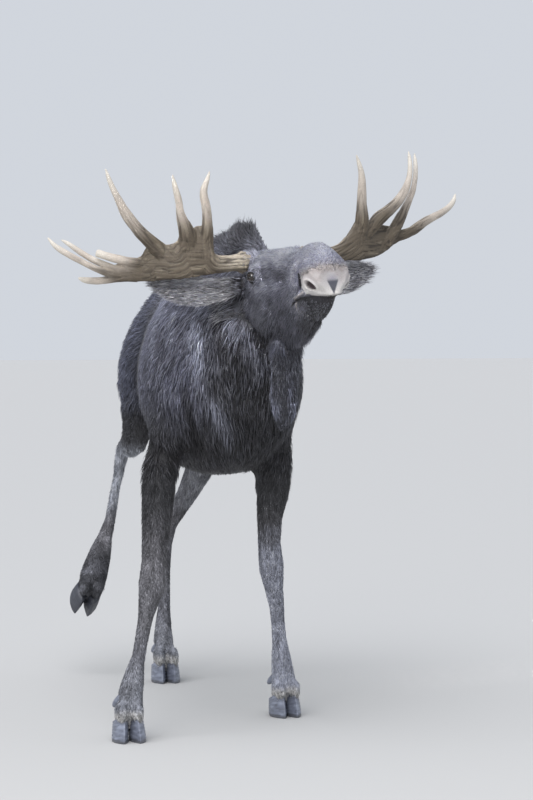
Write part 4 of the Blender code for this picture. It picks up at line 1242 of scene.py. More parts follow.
def locks(name, root, nrm, uv, rng, length, width, lift, colour, frost,
          bend=True, dark=0.42, light=1.7):
    """A joined mesh of closed spikes with colours from root to tip and a map patch each."""
    n = len(root)
    lie = lie_of(root, nrm)
    size = length * rng.uniform(0.70, 1.25, n)
    angle = lift * rng.uniform(0.5, 1.5, n)
    side = unit(np.cross(lie, nrm))
    lie = unit(lie + side * rng.normal(0, 0.12, n)[:, None])
    rise = unit(lie * np.cos(angle)[:, None] + nrm * np.sin(angle)[:, None])
    limp = (smooth(0.022, 0.050, length) * smooth(0.5, 0.1, nrm[:, 2]))[:, None]
    fall = unit(lie * np.cos(angle * 0.15)[:, None] + nrm * np.sin(angle * 0.15)[:, None]
                + np.array([0, 0, -0.10]) * limp)
    side = unit(np.cross(rise, nrm))
    top = np.cross(side, rise)
    half = (width * rng.uniform(0.7, 1.3, n) / 2)[:, None]
    foot = root - nrm * np.minimum(0.003, 0.06 * length)[:, None]
    ring = [side * half, -side * half, top * half * 0.8]
    base = [foot + r for r in ring]
    if bend:
        mid = foot + rise * (size * 0.5)[:, None]
        tip = mid + fall * (size * 0.5)[:, None]
        verts = np.stack(base + [mid + r * 0.72 for r in ring] + [tip], 1)
        local = np.array([(0, 2, 1), (0, 1, 4), (0, 4, 3), (1, 2, 5), (1, 5, 4), (2, 0, 3), (2, 3, 5),
                          (3, 4, 6), (4, 5, 6), (5, 3, 6)])
        share = np.array([0, 0, 0, 0.5, 0.5, 0.5, 1.0])
    else:
        tip = foot + unit(rise + fall) * size[:, None]
        verts = np.stack(base + [tip], 1)
        local = np.array([(0, 2, 1), (0, 1, 3), (1, 2, 3), (2, 0, 3)])
        share = np.array([0, 0, 0, 1.0])
    k = verts.shape[1]
    faces = (np.arange(n)[:, None, None] * k + local[None]).reshape(-1, 3)
    me = build_mesh(name, verts.reshape(-1, 3), faces)
    tone = np.exp(rng.normal(0, 0.44, n) + 0.38 * noise(root, 0.012, 57)
                  + 0.20 * noise(root, 0.04, 58))[:, None, None]
    ramp = (dark + (light - dark) * share ** 1.2)[None, :, None]
    shades = colour[:, None, :] * tone * ramp
    pale = (rng.random(n) < 0.38) * rng.uniform(0.3, 1.0, n) * frost
    pale = pale[:, None, None] * (share ** 0.8)[None, :, None]
    shades = shades + (linear("#b2b4c2") - shades) * pale
    paint(me, np.clip(shades, 0, 0.9).reshape(-1, 3))
    patch = np.zeros((k, 2))
    patch[0], patch[1], patch[2] = (-0.0015, -0.0015), (0.0015, -0.0015), (0.0, -0.0008)
    if bend:
        patch[3], patch[4], patch[5] = (-0.0011, 0.0), (0.0011, 0.0), (0.0, 0.0005)
    patch[-1] = (0.0, 0.0015)
    places = (uv[:, None, :] + patch[None]).reshape(-1, 2)
    layer = me.uv_layers.new(name="OFBake")
    layer.data.foreach_set("uv", places[faces.ravel()].astype(np.float32).ravel())
    return add_object(name, me)


# %% Where each piece of the coat grows
QUICK = 1.0
face_mid = skin_co[skin_tri].mean(1)
face_area = np.linalg.norm(np.cross(skin_co[skin_tri[:, 1]] - skin_co[skin_tri[:, 0]],
                                    skin_co[skin_tri[:, 2]] - skin_co[skin_tri[:, 0]]), axis=1) / 2
face_no = unit(skin_no[skin_tri].mean(1))
face_leg, face_head = leg_share(face_mid), head_share(face_mid)
face_h = to_head(face_mid)
ear_faces = np.zeros(len(face_mid), bool)
ear_faces[-2 * len(ear_meshes[0][1][0]):] = True
bare = pad_share(face_h)
bare = np.maximum(bare * (0.55 + 0.45 * smooth(0.0, 0.018, pad_top(face_h[:, 1]) - face_h[:, 2])),
                  0.97 * lip_share(folded(face_h)))
lid_q = lid_share(folded(face_h))[0]
bare = np.maximum(bare, (eye_reach(face_h) < EYE_RADIUS + 0.0065) * (lid_q < OUTSIDE))
face_fold = folded(face_h)
for path, width, depth in ((HOLLOW, 0.0085, 0.024), (ALAR, 0.0075, 0.024), (MOUTH, 0.0070, 0.022),
                           (LIP_FOLD, 0.0065, -0.007)):
    bare = np.maximum(bare, 1 - smooth(width * 0.7, width * 1.3, off_cut(face_fold, path, depth)))
bare = np.maximum(bare, 1 - smooth(0.9, 1.3, pit_reach(face_fold)))
under_hoof = in_model(face_mid)[:, 2] < 0.060
furred = face_area * (1 - bare) * ~under_hoof
body_weight = furred * (face_leg < 0.75) * (face_head < 0.85) * ~ear_faces
leg_weight = furred * (face_leg >= 0.75)
head_weight = furred * (face_head >= 0.5) * ~ear_faces
print("areas m2: body %.2f legs %.2f head %.2f"
      % (body_weight.sum(), leg_weight.sum(), head_weight.sum()))

# %% Grow the coat
coat = []


def frosting(p):
    """How many locks carry pale tips: most on neck, shoulder and cheek, few under the belly."""
    q = in_model(p)
    share = 0.22 + 0.46 * smooth(1.12, 1.42, q[:, 2]) * smooth(0.5, -0.3, q[:, 1])
    share += 0.10 * smooth(1.5, 1.7, q[:, 2])
    share = mix(share, 0.22, crest_share(p))
    # Painted shade: fewer pale tips in the creases.
    share += 1.1 * pale_share(q) - 0.35 * crease_shade(q)
    # Painted light: more pale tips on the near side of neck and shoulder.
    share += 0.25 * smooth(-0.06, -0.20, q[:, 0]) * smooth(1.15, 1.40, q[:, 2])
    share = share * (1 - 0.75 * leg_share(p))
    return np.clip(share * (1.0 + 0.6 * noise(p, 0.09, 71)), 0, 1)


def ear_length(nrm):
    """Short behind the ear, long and loose in its cup."""
    return 0.016 + 0.020 * smooth(0.0, 0.4, nrm @ HEAD_AXES[1])


def grow(name, weight, count, seed, most, **kind):
    """Scatter one region's locks and split them into pieces that stay small enough."""
    rng = np.random.default_rng(seed)
    count = int(count * QUICK)
    root, nrm, uv = scatter(weight, count, rng)
    colour = coat_colour(root, nrm)
    stretch = kind.pop("stretch", 1.0)
    length = stretch(nrm) if callable(stretch) else stretch * hair_length(root)
    frost = frosting(root) * kind.pop("frosted", 1.0)
    lift = hair_lift(root)
    order = np.argsort(root[:, 1], kind="stable")
    cuts = np.array_split(order, math.ceil(count / most))
    width = kind.pop("width")
    for i, idx in enumerate(cuts):
        label = name if len(cuts) == 1 else "%s_%d" % (name, i + 1)
        coat.append(locks(label, root[idx], nrm[idx], uv[idx], rng, length[idx],
                          np.full(len(idx), width), lift[idx], colour[idx], frost[idx], **kind))
    print(name, count, "locks in", len(cuts))


BENT_MOST, STRAIGHT_MOST = 19500, 49000     # locks of ten and of four triangles in one piece
grow("coat_body", body_weight, 58000, 101, BENT_MOST, width=0.0040)
grow("coat_frost", body_weight, 74000, 107, STRAIGHT_MOST, width=0.0030, bend=False, dark=0.6,
     light=1.9, stretch=0.62, frosted=1.1)
grow("coat_legs", leg_weight, 49000, 102, STRAIGHT_MOST, width=0.0034, bend=False, dark=0.60,
     light=1.40)
grow("coat_head", head_weight, 49000, 103, STRAIGHT_MOST, width=0.0038, bend=False, dark=0.35,
     light=1.75, frosted=1.3)
crest_weight = body_weight * crest_share(face_mid)
grow("coat_mane", crest_weight, 9000, 104, BENT_MOST, width=0.0042, dark=0.6, light=1.5)
cuff_weight = face_area * (cuff_share(face_mid) > 0.3)
grow("coat_cuffs", cuff_weight, 4000, 105, BENT_MOST, width=0.0034, dark=0.8, light=1.3, stretch=0.9)
rim = np.abs(face_no @ HEAD_AXES[1]) < 0.45
ear_weight = face_area * ear_faces * (in_ear(face_mid) > 0) * (1.0 + 3.0 * rim)
grow("coat_ears", ear_weight, 9000, 106, BENT_MOST, width=0.0032, dark=0.55, light=1.5,
     stretch=ear_length, frosted=1.3)

# %% [markdown]
# ## Antlers
# Antlers are bare dead bone by autumn: a knobbly burr at the root, a round beam, a broad palm
# grooved where blood vessels ran under the velvet, and long tines rubbed pale at the tips.
# Palm and tines are lofted, welded into one form, then grooved along their length.

# %% Antler sizes
PALM_ROWS = {     # left, forward, top, bottom
    -1: [(-0.096, 0.000, 0.040, -0.026), (-0.122, 0.000, 0.041, -0.026),
         (-0.150, -0.002, 0.036, -0.021), (-0.180, -0.005, 0.036, -0.022),
         (-0.205, -0.006, 0.040, -0.023), (-0.219, -0.007, 0.046, -0.023),
         (-0.231, -0.008, 0.070, -0.023), (-0.240, -0.008, 0.116, -0.025),
         (-0.252, -0.009, 0.150, -0.026), (-0.277, -0.010, 0.152, -0.028),
         (-0.293, -0.010, 0.148, -0.030), (-0.309, -0.011, 0.156, -0.031),
         (-0.328, -0.012, 0.160, -0.032), (-0.343, -0.014, 0.137, -0.032),
         (-0.357, -0.017, 0.106, -0.033), (-0.379, -0.021, 0.096, -0.032),
         (-0.403, -0.030, 0.097, -0.032), (-0.426, -0.042, 0.106, -0.031),
         (-0.449, -0.054, 0.110, -0.030), (-0.465, -0.064, 0.090, -0.029),
         (-0.482, -0.074, 0.064, -0.028), (-0.509, -0.089, 0.059, -0.026),
         (-0.543, -0.111, 0.055, -0.022), (-0.574, -0.131, 0.040, -0.015)],
    1: [(0.096, 0.000, 0.040, -0.026), (0.122, 0.000, 0.041, -0.026), (0.150, -0.002, 0.036, -0.022),
        (0.206, -0.005, 0.034, -0.021), (0.239, -0.008, 0.036, -0.026), (0.267, -0.011, 0.046, -0.026),
        (0.295, -0.013, 0.067, -0.027), (0.325, -0.019, 0.096, -0.026), (0.348, -0.025, 0.122, -0.023),
        (0.379, -0.038, 0.124, -0.020), (0.412, -0.053, 0.122, -0.016), (0.445, -0.070, 0.116, -0.009),
        (0.478, -0.086, 0.106, 0.002), (0.511, -0.101, 0.098, 0.019), (0.539, -0.112, 0.090, 0.033),
        (0.568, -0.123, 0.080, 0.045), (0.597, -0.129, 0.076, 0.054)],
}
PALM_THICK = ([0.096, 0.122, 0.150, 0.205, 0.245, 0.300, 0.400, 0.500, 0.600],
              [0.033, 0.033, 0.027, 0.025, 0.020, 0.0165, 0.0145, 0.0130, 0.0085])
TINES = {         # left, forward, up and half width, from the root to the tip
    -1: [[(-0.255, -0.002, 0.050, 0.030), (-0.253, 0.000, 0.091, 0.026),
          (-0.247, 0.003, 0.129, 0.0225), (-0.244, 0.008, 0.163, 0.019),
          (-0.244, 0.013, 0.197, 0.0173), (-0.248, 0.018, 0.229, 0.0164),
          (-0.253, 0.023, 0.260, 0.0147), (-0.249, 0.028, 0.287, 0.0125),
          (-0.237, 0.034, 0.316, 0.0086), (-0.226, 0.040, 0.344, 0.0028)],
         [(-0.318, -0.002, 0.060, 0.036), (-0.321, 0.000, 0.105, 0.032),
          (-0.327, 0.003, 0.144, 0.0276), (-0.339, 0.007, 0.179, 0.0207),
          (-0.345, 0.010, 0.210, 0.0155), (-0.347, 0.015, 0.242, 0.0138),
          (-0.354, 0.020, 0.278, 0.0120), (-0.361, 0.025, 0.313, 0.0086),
          (-0.366, 0.030, 0.343, 0.0028)],
         [(-0.390, -0.026, 0.045, 0.030), (-0.425, -0.030, 0.081, 0.0293),
          (-0.458, -0.032, 0.114, 0.0258), (-0.485, -0.035, 0.145, 0.0232),
          (-0.515, -0.039, 0.188, 0.0215), (-0.537, -0.043, 0.230, 0.0189),
          (-0.554, -0.047, 0.273, 0.0146), (-0.569, -0.052, 0.314, 0.0112),
          (-0.580, -0.056, 0.354, 0.0082), (-0.587, -0.060, 0.389, 0.0028)],
         [(-0.440, -0.060, 0.028, 0.020), (-0.481, -0.070, 0.036, 0.019),
          (-0.529, -0.087, 0.051, 0.0155), (-0.566, -0.108, 0.064, 0.0156),
          (-0.599, -0.129, 0.079, 0.0147), (-0.625, -0.149, 0.093, 0.0150)],
         [(-0.480, -0.080, 0.004, 0.018), (-0.530, -0.097, 0.011, 0.0173),
          (-0.568, -0.116, 0.024, 0.0156), (-0.605, -0.149, 0.049, 0.0130),
          (-0.637, -0.186, 0.075, 0.0122), (-0.667, -0.228, 0.107, 0.0105),
          (-0.695, -0.276, 0.143, 0.0079), (-0.710, -0.300, 0.158, 0.0028)],
         [(-0.500, -0.085, -0.006, 0.018), (-0.548, -0.100, 0.000, 0.0156),
          (-0.596, -0.118, 0.014, 0.0138), (-0.639, -0.145, 0.038, 0.0115),
          (-0.681, -0.179, 0.070, 0.0118), (-0.717, -0.214, 0.101, 0.0118),
          (-0.748, -0.248, 0.133, 0.0096), (-0.767, -0.280, 0.170, 0.0032)],
         [(-0.500, -0.085, -0.014, 0.014), (-0.549, -0.100, -0.009, 0.013),
          (-0.586, -0.129, -0.008, 0.013), (-0.624, -0.182, -0.007, 0.0135),
          (-0.654, -0.233, 0.001, 0.0115), (-0.670, -0.263, 0.012, 0.0045)]],
    1: [[(0.345, -0.022, 0.050, 0.032), (0.363, -0.020, 0.088, 0.0276), (0.372, -0.018, 0.126, 0.0264),
         (0.374, -0.017, 0.159, 0.0228), (0.376, -0.015, 0.192, 0.0198), (0.380, -0.012, 0.233, 0.0180),
         (0.383, -0.008, 0.272, 0.0144), (0.382, -0.006, 0.305, 0.0114), (0.375, -0.003, 0.338, 0.0078),
         (0.367, 0.000, 0.368, 0.0028)],
        [(0.380, -0.030, 0.070, 0.026), (0.416, -0.035, 0.097, 0.0253), (0.448, -0.043, 0.125, 0.0253),
         (0.488, -0.054, 0.149, 0.0230), (0.530, -0.068, 0.175, 0.0206), (0.567, -0.082, 0.204, 0.0182),
         (0.597, -0.098, 0.238, 0.0146), (0.618, -0.112, 0.271, 0.0116), (0.635, -0.130, 0.312, 0.0094),
         (0.644, -0.147, 0.350, 0.0074), (0.648, -0.160, 0.378, 0.0030)],
        [(0.480, -0.074, 0.030, 0.023), (0.510, -0.080, 0.063, 0.0231), (0.537, -0.089, 0.095, 0.0231),
         (0.563, -0.101, 0.127, 0.0201), (0.591, -0.115, 0.160, 0.0165), (0.619, -0.131, 0.193, 0.0134),
         (0.644, -0.147, 0.227, 0.0117), (0.663, -0.164, 0.261, 0.0104), (0.680, -0.184, 0.302, 0.0092),
         (0.691, -0.203, 0.340, 0.0078), (0.698, -0.220, 0.373, 0.0030)],
        [(0.510, -0.100, 0.056, 0.021), (0.562, -0.110, 0.061, 0.0207), (0.607, -0.123, 0.071, 0.0183),
         (0.644, -0.139, 0.086, 0.0184), (0.685, -0.159, 0.106, 0.0166), (0.730, -0.181, 0.121, 0.0148),
         (0.781, -0.208, 0.138, 0.0136), (0.825, -0.234, 0.157, 0.0120), (0.859, -0.258, 0.182, 0.0092),
         (0.880, -0.280, 0.210, 0.0028)]],
}
BROKEN_END = np.array(TINES[-1][3][-1][:3])     # the fourth tine on the right ends bluntly
ANTLER_GRID = 0.0033

# %% Antler forms


def palm_form(rows, sides=36):
    """The broad part of an antler, and the line along its middle."""
    q = curve_through(rows, 3)
    step = unit(np.gradient(q[:, :2], axis=0))
    w = np.linspace(0, 2 * math.pi, sides, endpoint=False)
    rings = []
    for (left, fwd, top, low), t in zip(q, step):
        thick = np.interp(abs(left), *PALM_THICK)
        off = thick * np.sign(np.cos(w)) * np.abs(np.cos(w)) ** 0.8
        rings.append(from_head(np.stack([left - t[1] * off, fwd + t[0] * off,
                                         (top + low) / 2 + (top - low) / 2 * np.sin(w)], 1)))
    height = np.minimum((q[:, 2] + q[:, 3]) / 2, 0.020 + 0.1 * np.abs(q[:, 0]))
    return loft(rings), from_head(np.stack([q[:, 0], q[:, 1], height], 1))


def tine_form(rows, sides=20):
    """One tine, thinner where it sinks into the palm, and the line along its middle."""
    q = curve_through(rows, 4)
    line = from_head(q[:, :3])
    tangent = unit(np.gradient(line, axis=0))
    w = np.linspace(0, 2 * math.pi, sides, endpoint=False)
    rings = []
    sink = smooth(-0.15, 0.30, np.linspace(0, 1, len(q)))
    for p, d, wide, k in zip(line, tangent, q[:, 3], sink):
        thick = min(wide, 0.55 * wide + 0.0045) * k
        v = unit(HEAD_AXES[1] - d * (HEAD_AXES[1] @ d))
        u = np.cross(d, v)
        rings.append(p + np.cos(w)[:, None] * wide * u + np.sin(w)[:, None] * thick * v)
    return loft(rings), line


# A vein's groove is about 9 mm from its neighbour and wanders over 85 mm. The noise is read
# in turned directions, so that the lines of its grid cross a branch at a slant.
SLANT = np.array([(0.62, 0.58, 0.53), (-0.77, 0.56, 0.29), (-0.13, -0.59, 0.80)])
GROOVE_APART, GROOVE_LONG = 0.009, 0.085


def grooves(p, lines):
    """Streaks along the branches (-1 in a groove, 1 on a ridge), share of tine, share of tip."""
    total, weight, tine, far = np.zeros(len(p)), np.zeros(len(p)), np.zeros(len(p)), np.zeros(len(p))
    for i, line in enumerate(lines):
        line = line[::2]
        leg = np.diff(line, axis=0)
        step = np.linalg.norm(leg, axis=1)
        run = np.concatenate([[0], np.cumsum(step)])
        tangent = unit(np.gradient(line, axis=0))
        gap, k, t = np.full(len(p), OUTSIDE), np.zeros(len(p), int), np.zeros(len(p))
        for j in range(len(leg)):
            tj = np.clip((p - line[j]) @ leg[j] / step[j] ** 2, 0, 1)
            gj = np.linalg.norm(p - line[j] - tj[:, None] * leg[j], axis=1)
            better = gj < gap
            gap, k, t = np.where(better, gj, gap), np.where(better, j, k), np.where(better, tj, t)
        off = p - line[k] - t[:, None] * leg[k]
        d = unit(mix(tangent[k], tangent[k + 1], t[:, None]))
        across = unit(HEAD_AXES[1] - d * (d @ HEAD_AXES[1])[:, None])
        s = run[k] + t * step[k]
        w = hump(gap, 0.030 if i else 0.060) * (1.0 if i else 0.8)
        q = np.stack([np.sum(off * across, 1) / GROOVE_APART,
                      np.sum(off * np.cross(d, across), 1) / GROOVE_APART,
                      s / GROOVE_LONG], 1) @ SLANT + i * 7.3
        vein = 1.0 - 2.0 * hump(noise(q, 1.0, 60 + i), 0.22)
        total += w ** 2 * (0.65 * vein + 0.45 * noise(q * 1.7, 1.0, 80 + i))
        weight += w ** 2
        share = s / run[-1]
        if i:
            tine = np.maximum(tine, w * smooth(0.22, 0.60, share))
            far = np.maximum(far, w * smooth(0.60, 1.00, share))
    return total / np.maximum(weight, 1e-6), np.clip(tine * 1.3, 0, 1), np.clip(far * 1.3, 0, 1)


# %% Weld, groove and paint the antlers


def antler(side, label):
    """Palm and tines as one grooved, painted piece; `side` is 1 on the left."""
    palm, spine = palm_form(PALM_ROWS[side])
    parts, lines = [palm], [spine]
    for row in TINES[side]:
        form, line = tine_form(row)
        parts.append(form)
        lines.append(line)
    ob = add_object(label, joined(label, parts))
    applied(ob, ("REMESH", dict(mode="VOXEL", voxel_size=ANTLER_GRID)))
    co = relax(coords(ob.data), edge_pairs(ob.data), 8)
    set_coords(ob.data, co)
    h = to_head(co)
    streak, tine, far = grooves(co, lines)
    burr = smooth(0.020, 0.0, np.abs(np.abs(h[:, 0]) - 0.122))
    pearls = np.clip(noise(co, 0.011, 91) + 0.2, 0, 1) * smooth(0.30, 0.14, np.abs(h[:, 0]))
    bulge = (streak * (0.0015 * (1 - tine) + 0.0001) * (1 - far)
             + 0.0055 * burr * (0.6 + 0.8 * noise(co, 0.012, 92))
             + 0.0022 * pearls + 0.0012 * noise(co, 0.035, 93) * (1 - far))
    if side < 0:
        broken = smooth(0.014, 0.004, np.linalg.norm(h - BROKEN_END, axis=1))
        bulge += broken * 0.004 * noise(co, 0.007, 94)
    co = co + normals(ob.data) * bulge[:, None]
    set_coords(ob.data, co)
    c = np.tile(linear("#594f41"), (len(co), 1))
    nrm = normals(ob.data)
    h_up = nrm @ HEAD_AXES[2]
    beam = smooth(0.24, 0.17, np.abs(h[:, 0]))
    c = blend(c, "#a89f8f", beam * 0.75)
    # Painted shade and highlight: bone facing down is painted darker, bone facing up lighter.
    c = blend(c, "#453b2e", smooth(0.1, -0.7, h_up) * 0.60 * (1 - tine))
    c = blend(c, "#a99e8d", smooth(0.45, 0.95, h_up) * 0.60)
    c = blend(c, "#c3b8ac", tine * 0.90)
    c = blend(c, "#2f261c", smooth(0.10, -0.80, streak) * (0.90 - 0.60 * tine) * (1 - far))
    c = blend(c, "#a89d89", smooth(0.5, 1.1, streak) * 0.40)
    c = blend(c, "#5f5545", burr * 0.5 * smooth(0.2, -0.6, noise(co, 0.009, 95)))
    c = blend(c, "#d3ccc0", far)
    paint(ob.data, np.clip(c * (1 + 0.08 * noise(co, 0.02, 96))[:, None], 0, 1), "Bone")
    print(label, len(ob.data.polygons) * 2, "triangles")
    return ob


antlers = {"right": antler(-1, "antler_right"), "left": antler(1, "antler_left")}

# %% [markdown]
# ## Hooves and dewclaws
# Each foot has two long pointed hooves and two small dewclaws behind them, all of grey horn
# with faint growth rings around. The lifted hind foot hangs with its toes pointing down, and
# its horn is darker.

# %% Hoof and dewclaw forms


def hoof(spec, sgn, sides=44, steps=26):
    """One toe of a foot, lofted from the sole up to the coronet."""
    w = np.linspace(0, 2 * math.pi, sides, endpoint=False)
    c, s = np.cos(w), np.sin(w)
    m = foot_turn(spec)
    rings = []
    for t in np.concatenate([[0.0, 0.0, 0.012], np.linspace(0.04, 1.0, steps)]):
        size = np.interp(t, [0, 0.12, 0.5, 1.0], [1.0, 1.0, 0.95, 0.82])
        back = np.interp(t, [0, 0.12, 0.5, 1.0], [0.0, -0.002, -0.009, -0.020])
        x = 0.5 + 0.5 * c
        half = np.interp(x, [0, 0.2, 0.45, 0.7, 0.88, 1.0], [0.80, 1.02, 1.06, 0.96, 0.74, 0.46])
        foot_round = np.interp(t, [0, 0.03, 0.08, 0.16], [0.86, 0.94, 0.985, 1.0])
        x = (x - 0.5) * TOE_LENGTH * size * (0.5 + 0.5 * foot_round) + back + 0.012
        ring_line = 0.0007 * math.sin(t * 46.0) + 0.0004 * math.sin(t * 97.0)
        y = 0.5 * TOE_WIDTH * 0.96 * half * s * (1 + ring_line / 0.02)
        outer = np.clip(s * sgn, 0, 1)
        y = y * (1 - outer * (1 - size * foot_round)) * np.where(s * sgn < 0, 0.55 + 0.45 * half, 1.0)
        y = y + sgn * (TOE_GAP / 2 + 0.5 * TOE_WIDTH * (0.96 - 0.35 * (1.06 - half)))
        y += sgn * spec["spread"] * (1 - t) * (0.4 + x / TOE_LENGTH)
        x = x + ring_line * c
        z = -SOLE_DROP + (SOLE_DROP + x * CORONET_SLOPE - 0.001) * t
        rings.append(np.stack([x, y, z], 1))
    rings = np.array(rings)
    rings[0] = rings[0].mean(0) + (rings[0] - rings[0].mean(0)) * 0.55
    return loft(np.array([moved(m, r) for r in rings]))


def dewclaw(spec, sgn, sides=20):
    """One small claw behind the foot."""
    m = foot_turn(spec.get("dew", spec))
    base, end = np.array([-0.022, sgn * 0.026, 0.082]), np.array([-0.072, sgn * 0.044, 0.040])
    t = np.array([0, 0.15, 0.3, 0.45, 0.6, 0.72, 0.84, 0.93, 1.0])
    radius = np.array([0.013, 0.0138, 0.0142, 0.0144, 0.0142, 0.0130, 0.0105, 0.0075, 0.003])
    path = base + (end - base) * t[:, None]
    form = tube(path, radius, sides, flat=0.8, across=(0, 1, 0))
    return moved(m, form[0]), form[1]


hoof_parts = []
for spec in FEET.values():
    for sgn in (1, -1):
        hoof_parts += [hoof(spec, sgn), dewclaw(spec, sgn)]
hooves = add_object("hooves", joined("hooves", hoof_parts))
co = coords(hooves.data)
c = np.tile(linear("#6d7280"), (len(co), 1))
c = blend(c, "#9aa1b2", smooth(-0.2, 0.7, noise(co * [1, 1, 2.5], 0.020, 97)) * 0.6)
c = blend(c, "#2f3035", smooth(0.2, 0.9, noise(co * [1, 1, 3.0], 0.012, 98)) * 0.5)
c = blend(c, "#33353c", smooth(0.15, 0.25, co[:, 2]) * 0.9)
c = blend(c, "#3c3a38", (co[:, 2] < 0.012) * 0.6)
paint(hooves.data, c, "Horn")
print("hooves", len(hooves.data.polygons))

# %% [markdown]
# ## Eyes
# The eyeball is dark brown all over what shows, with a wide level pupil and a wet shine.

# %% Eyeballs


def eyeball(side, rings=40, around=64):
    """A ball that bulges slightly where it looks out, and the colours of its points."""
    centre = EYE_IN_HEAD * [side, 1, 1]
    out = EYE_OUT * [side, 1, 1]
    front = unit(EYE_FRONT * [side, 1, 1])
    top = np.cross(out, front)
    top = top if top[2] > 0 else -top
    a = np.linspace(0.02, math.pi - 0.02, rings)
    w = np.linspace(0, 2 * math.pi, around, endpoint=False)
    out_list = []
    for u in a:
        bulge = EYE_RADIUS - 0.0006 + 0.0012 * math.exp(-(u / 0.55) ** 2)
        out_list.append(centre + bulge * (math.cos(u) * out[None] + math.sin(u)
                                          * (np.cos(w)[:, None] * front + np.sin(w)[:, None] * top)))
    v, f = loft(np.array(out_list))
    d = (v - centre) @ np.stack([front, top, out], 1) / EYE_RADIUS
    c = np.tile(linear("#1c1412"), (len(v), 1))
    iris = smooth(0.66, 0.58, np.hypot(d[:, 0], d[:, 1]))
    c = blend(c, "#140c08", iris)
    c = blend(c, "#24150c", iris * smooth(-0.3, 0.8, np.sin(np.arctan2(d[:, 1], d[:, 0]) * 37)) * 0.5)
    pupil = smooth(1.08, 0.92, np.hypot(d[:, 0] / 0.40, d[:, 1] / 0.24)) * (d[:, 2] > 0)
    c = blend(c, "#030303", pupil)
    return (from_head(v), f), c


balls = [eyeball(1), eyeball(-1)]
eyes = add_object("eyes", joined("eyes", [b[0] for b in balls]))
paint(eyes.data, np.vstack([b[1] for b in balls]), "Iris")
print("eyes", len(eyes.data.polygons))

# %% [markdown]
# ## Finishes
# One small function adds a node. Every finish takes the colour painted on its mesh; hide, bone
# and horn have a fine noise as well, which shades the first two and roughens all three.

# %% Node and material helpers


def node(tree, kind, inputs=None, **settings):
    n = tree.nodes.new(kind)
    for key, value in settings.items():
        setattr(n, key, value)
    for key, value in (inputs or {}).items():
        if isinstance(value, bpy.types.NodeSocket):
            tree.links.new(value, n.inputs[key])
        else:
            n.inputs[key].default_value = value
    return n


def new_material(name, **fixed):
    m = bpy.data.materials.new(name)
    m.use_nodes = True
    shader = m.node_tree.nodes["Principled BSDF"]
    for key, value in fixed.items():
        shader.inputs[key.replace("_", " ")].default_value = value
    return m, m.node_tree, shader


def painted(name, layer, grain=None, shades=None, relief=None, **fixed):
    """A finish in the colour painted as `layer`.

    `grain` is the scale and detail of a fine noise, `shades` how dark and how light it makes
    the colour, and `relief` the strength and depth in metres of its bumps.
    """
    material, tree, shader = new_material(name, **fixed)
    colour = node(tree, "ShaderNodeAttribute", attribute_name=layer).outputs["Color"]
    if grain:
        place = node(tree, "ShaderNodeTexCoord")
        speckle = node(tree, "ShaderNodeTexNoise", {"Vector": place.outputs["Object"],
                                                    "Scale": grain[0], "Detail": grain[1]})
        bump = node(tree, "ShaderNodeBump", {"Height": speckle.outputs["Fac"],
                                             "Strength": relief[0], "Distance": relief[1]})
        tree.links.new(bump.outputs["Normal"], shader.inputs["Normal"])
    if shades:
        shade = node(tree, "ShaderNodeMapRange", {"Value": speckle.outputs["Fac"], "From Min": 0.3,
                                                  "From Max": 0.7, "To Min": shades[0],
                                                  "To Max": shades[1]})
        colour = node(tree, "ShaderNodeMix", {0: 1.0, 6: colour, 7: shade.outputs[0]},
                      data_type="RGBA", blend_type="MULTIPLY").outputs[2]
    tree.links.new(colour, shader.inputs["Base Color"])
    return material


def dress(ob, material, slot, *stands_for):
    """Give a piece its finish and hide the solids it stands for; `slot` is not used."""
    ob.data.materials.append(material)
    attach(ob, "root")
    if stands_for:
        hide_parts(*stands_for)


def rgba(code):
    return tuple(float(v) for v in linear(code)) + (1.0,)


# %% Hair and hide
guard_hair = painted("moose_guard_hair", "Coat", Roughness=0.52, IOR=1.55)
hide = painted("moose_hide", "Coat", grain=(420.0, 3.0), shades=(0.82, 1.12), relief=(0.35, 0.0006),
               Roughness=0.62, IOR=1.45)
for piece in coat:
    dress(piece, guard_hair, "body_coat")
dress(skin, hide, "body_coat", *FLESH, *EARS)
print("coat pieces", len(coat))

# %% Antler bone, hoof horn and eyes
antler_bone = painted("antler_bone", "Bone", grain=(260.0, 4.0), shades=(0.84, 1.10),
                      relief=(0.15, 0.0008), Roughness=0.60, IOR=1.54)
hoof_horn = painted("hoof_horn", "Horn", grain=(180.0, 3.0), relief=(0.3, 0.0006),
                    Roughness=0.42, IOR=1.55)
wet_eye = painted("wet_cornea", "Iris", Roughness=0.04, IOR=1.44, Specular_IOR_Level=0.90)

for label, ob in antlers.items():
    dress(ob, antler_bone, "antler_bone",
          *[n for n in nodes if n.startswith("antler") and label in n])
dress(hooves, hoof_horn, "hoof_horn", *[n for n in nodes if n.startswith(("hoof", "dewclaw"))])
dress(eyes, wet_eye, "eye", "eye_left", "eye_right")
print("antlers, hooves and eyes dressed")

# %% [markdown]
# ## Floor, light and camera
# A pale floor, a big soft light overhead and a weaker one in front, as in a studio. A very small
# lamp is aimed at the head alone and gives the eye its shine.
# The camera stands at a person's eye height, ten metres away.

# %% Stage


FLOOR_HALF = 60.0
corners = np.array([(-1, -1, 0), (1, -1, 0), (1, 1, 0), (-1, 1, 0)]) * FLOOR_HALF
floor = add_object("floor", build_mesh("floor", corners, np.array([[0, 1, 2, 3]]), False))
studio_floor = new_material("studio_floor_paint", Base_Color=rgba("#bfbfbd"), Roughness=0.9)[0]
floor.data.materials.append(studio_floor)

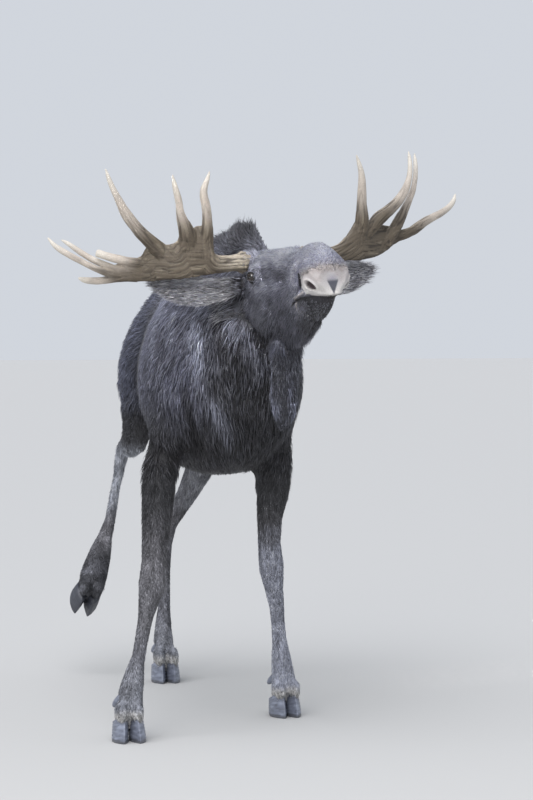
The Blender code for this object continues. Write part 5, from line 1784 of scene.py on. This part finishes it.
WORLD_COLOUR, WORLD_STRENGTH = "#dde2ea", 0.88
world = bpy.data.worlds.new("studio")
bpy.context.scene.world = world
world.use_nodes = True
background = world.node_tree.nodes["Background"]
background.inputs["Color"].default_value = rgba(WORLD_COLOUR)
background.inputs["Strength"].default_value = WORLD_STRENGTH


def area_light(name, at, aim, size, watts, code):
    """A round lamp at one place, turned towards another."""
    data = bpy.data.lights.new(name, "AREA")
    data.shape, data.size, data.energy = "DISK", size, watts
    data.color = rgba(code)[:3]
    ob = add_object(name, data)
    ob.location = at
    ob.rotation_euler = (Vector(aim) - Vector(at)).to_track_quat("-Z", "Y").to_euler()
    return ob


SKY_STRENGTH, SKY_WIDTH, SKY_COLOUR = 2.1, math.radians(60.0), "#fbfaff"
SKY_SHINES = Vector((0.30, 0.42, -1.0))
sky_data = bpy.data.lights.new("overhead", "SUN")
sky_data.energy, sky_data.angle, sky_data.color = SKY_STRENGTH, SKY_WIDTH, rgba(SKY_COLOUR)[:3]
sky = add_object("overhead", sky_data)
sky.rotation_euler = SKY_SHINES.to_track_quat("-Z", "Y").to_euler()
area_light("front_fill", (-3.6, -7.4, 4.6), (0, -0.4, 1.4), 4.0, 170.0, "#fffaf2")
eye_light = area_light("eye_light", (-1.92, -3.80, 3.59), (-0.085, -0.84, 1.70), 0.5, 0.65, "#ffffff")
eye_light.data.spread = math.radians(14.0)

CAMERA_AT = Vector((-1.67287, -10.12419, 1.62))
CAMERA_RIGHT = Vector((0.98480775, -0.17364818, 0.0))
CAMERA_UP = Vector((0.00667384, 0.03784924, 0.99926117))
camera_data = bpy.data.cameras.new("camera")
camera_data.lens, camera_data.sensor_width = 117.0, 36.0
camera = add_object("camera", camera_data)
turn = Matrix((CAMERA_RIGHT, CAMERA_UP, CAMERA_RIGHT.cross(CAMERA_UP))).transposed().to_4x4()
camera.matrix_world = Matrix.Translation(CAMERA_AT) @ turn
bpy.context.scene.camera = camera
bpy.context.scene.view_settings.view_transform = "Standard"
print("stage ready")
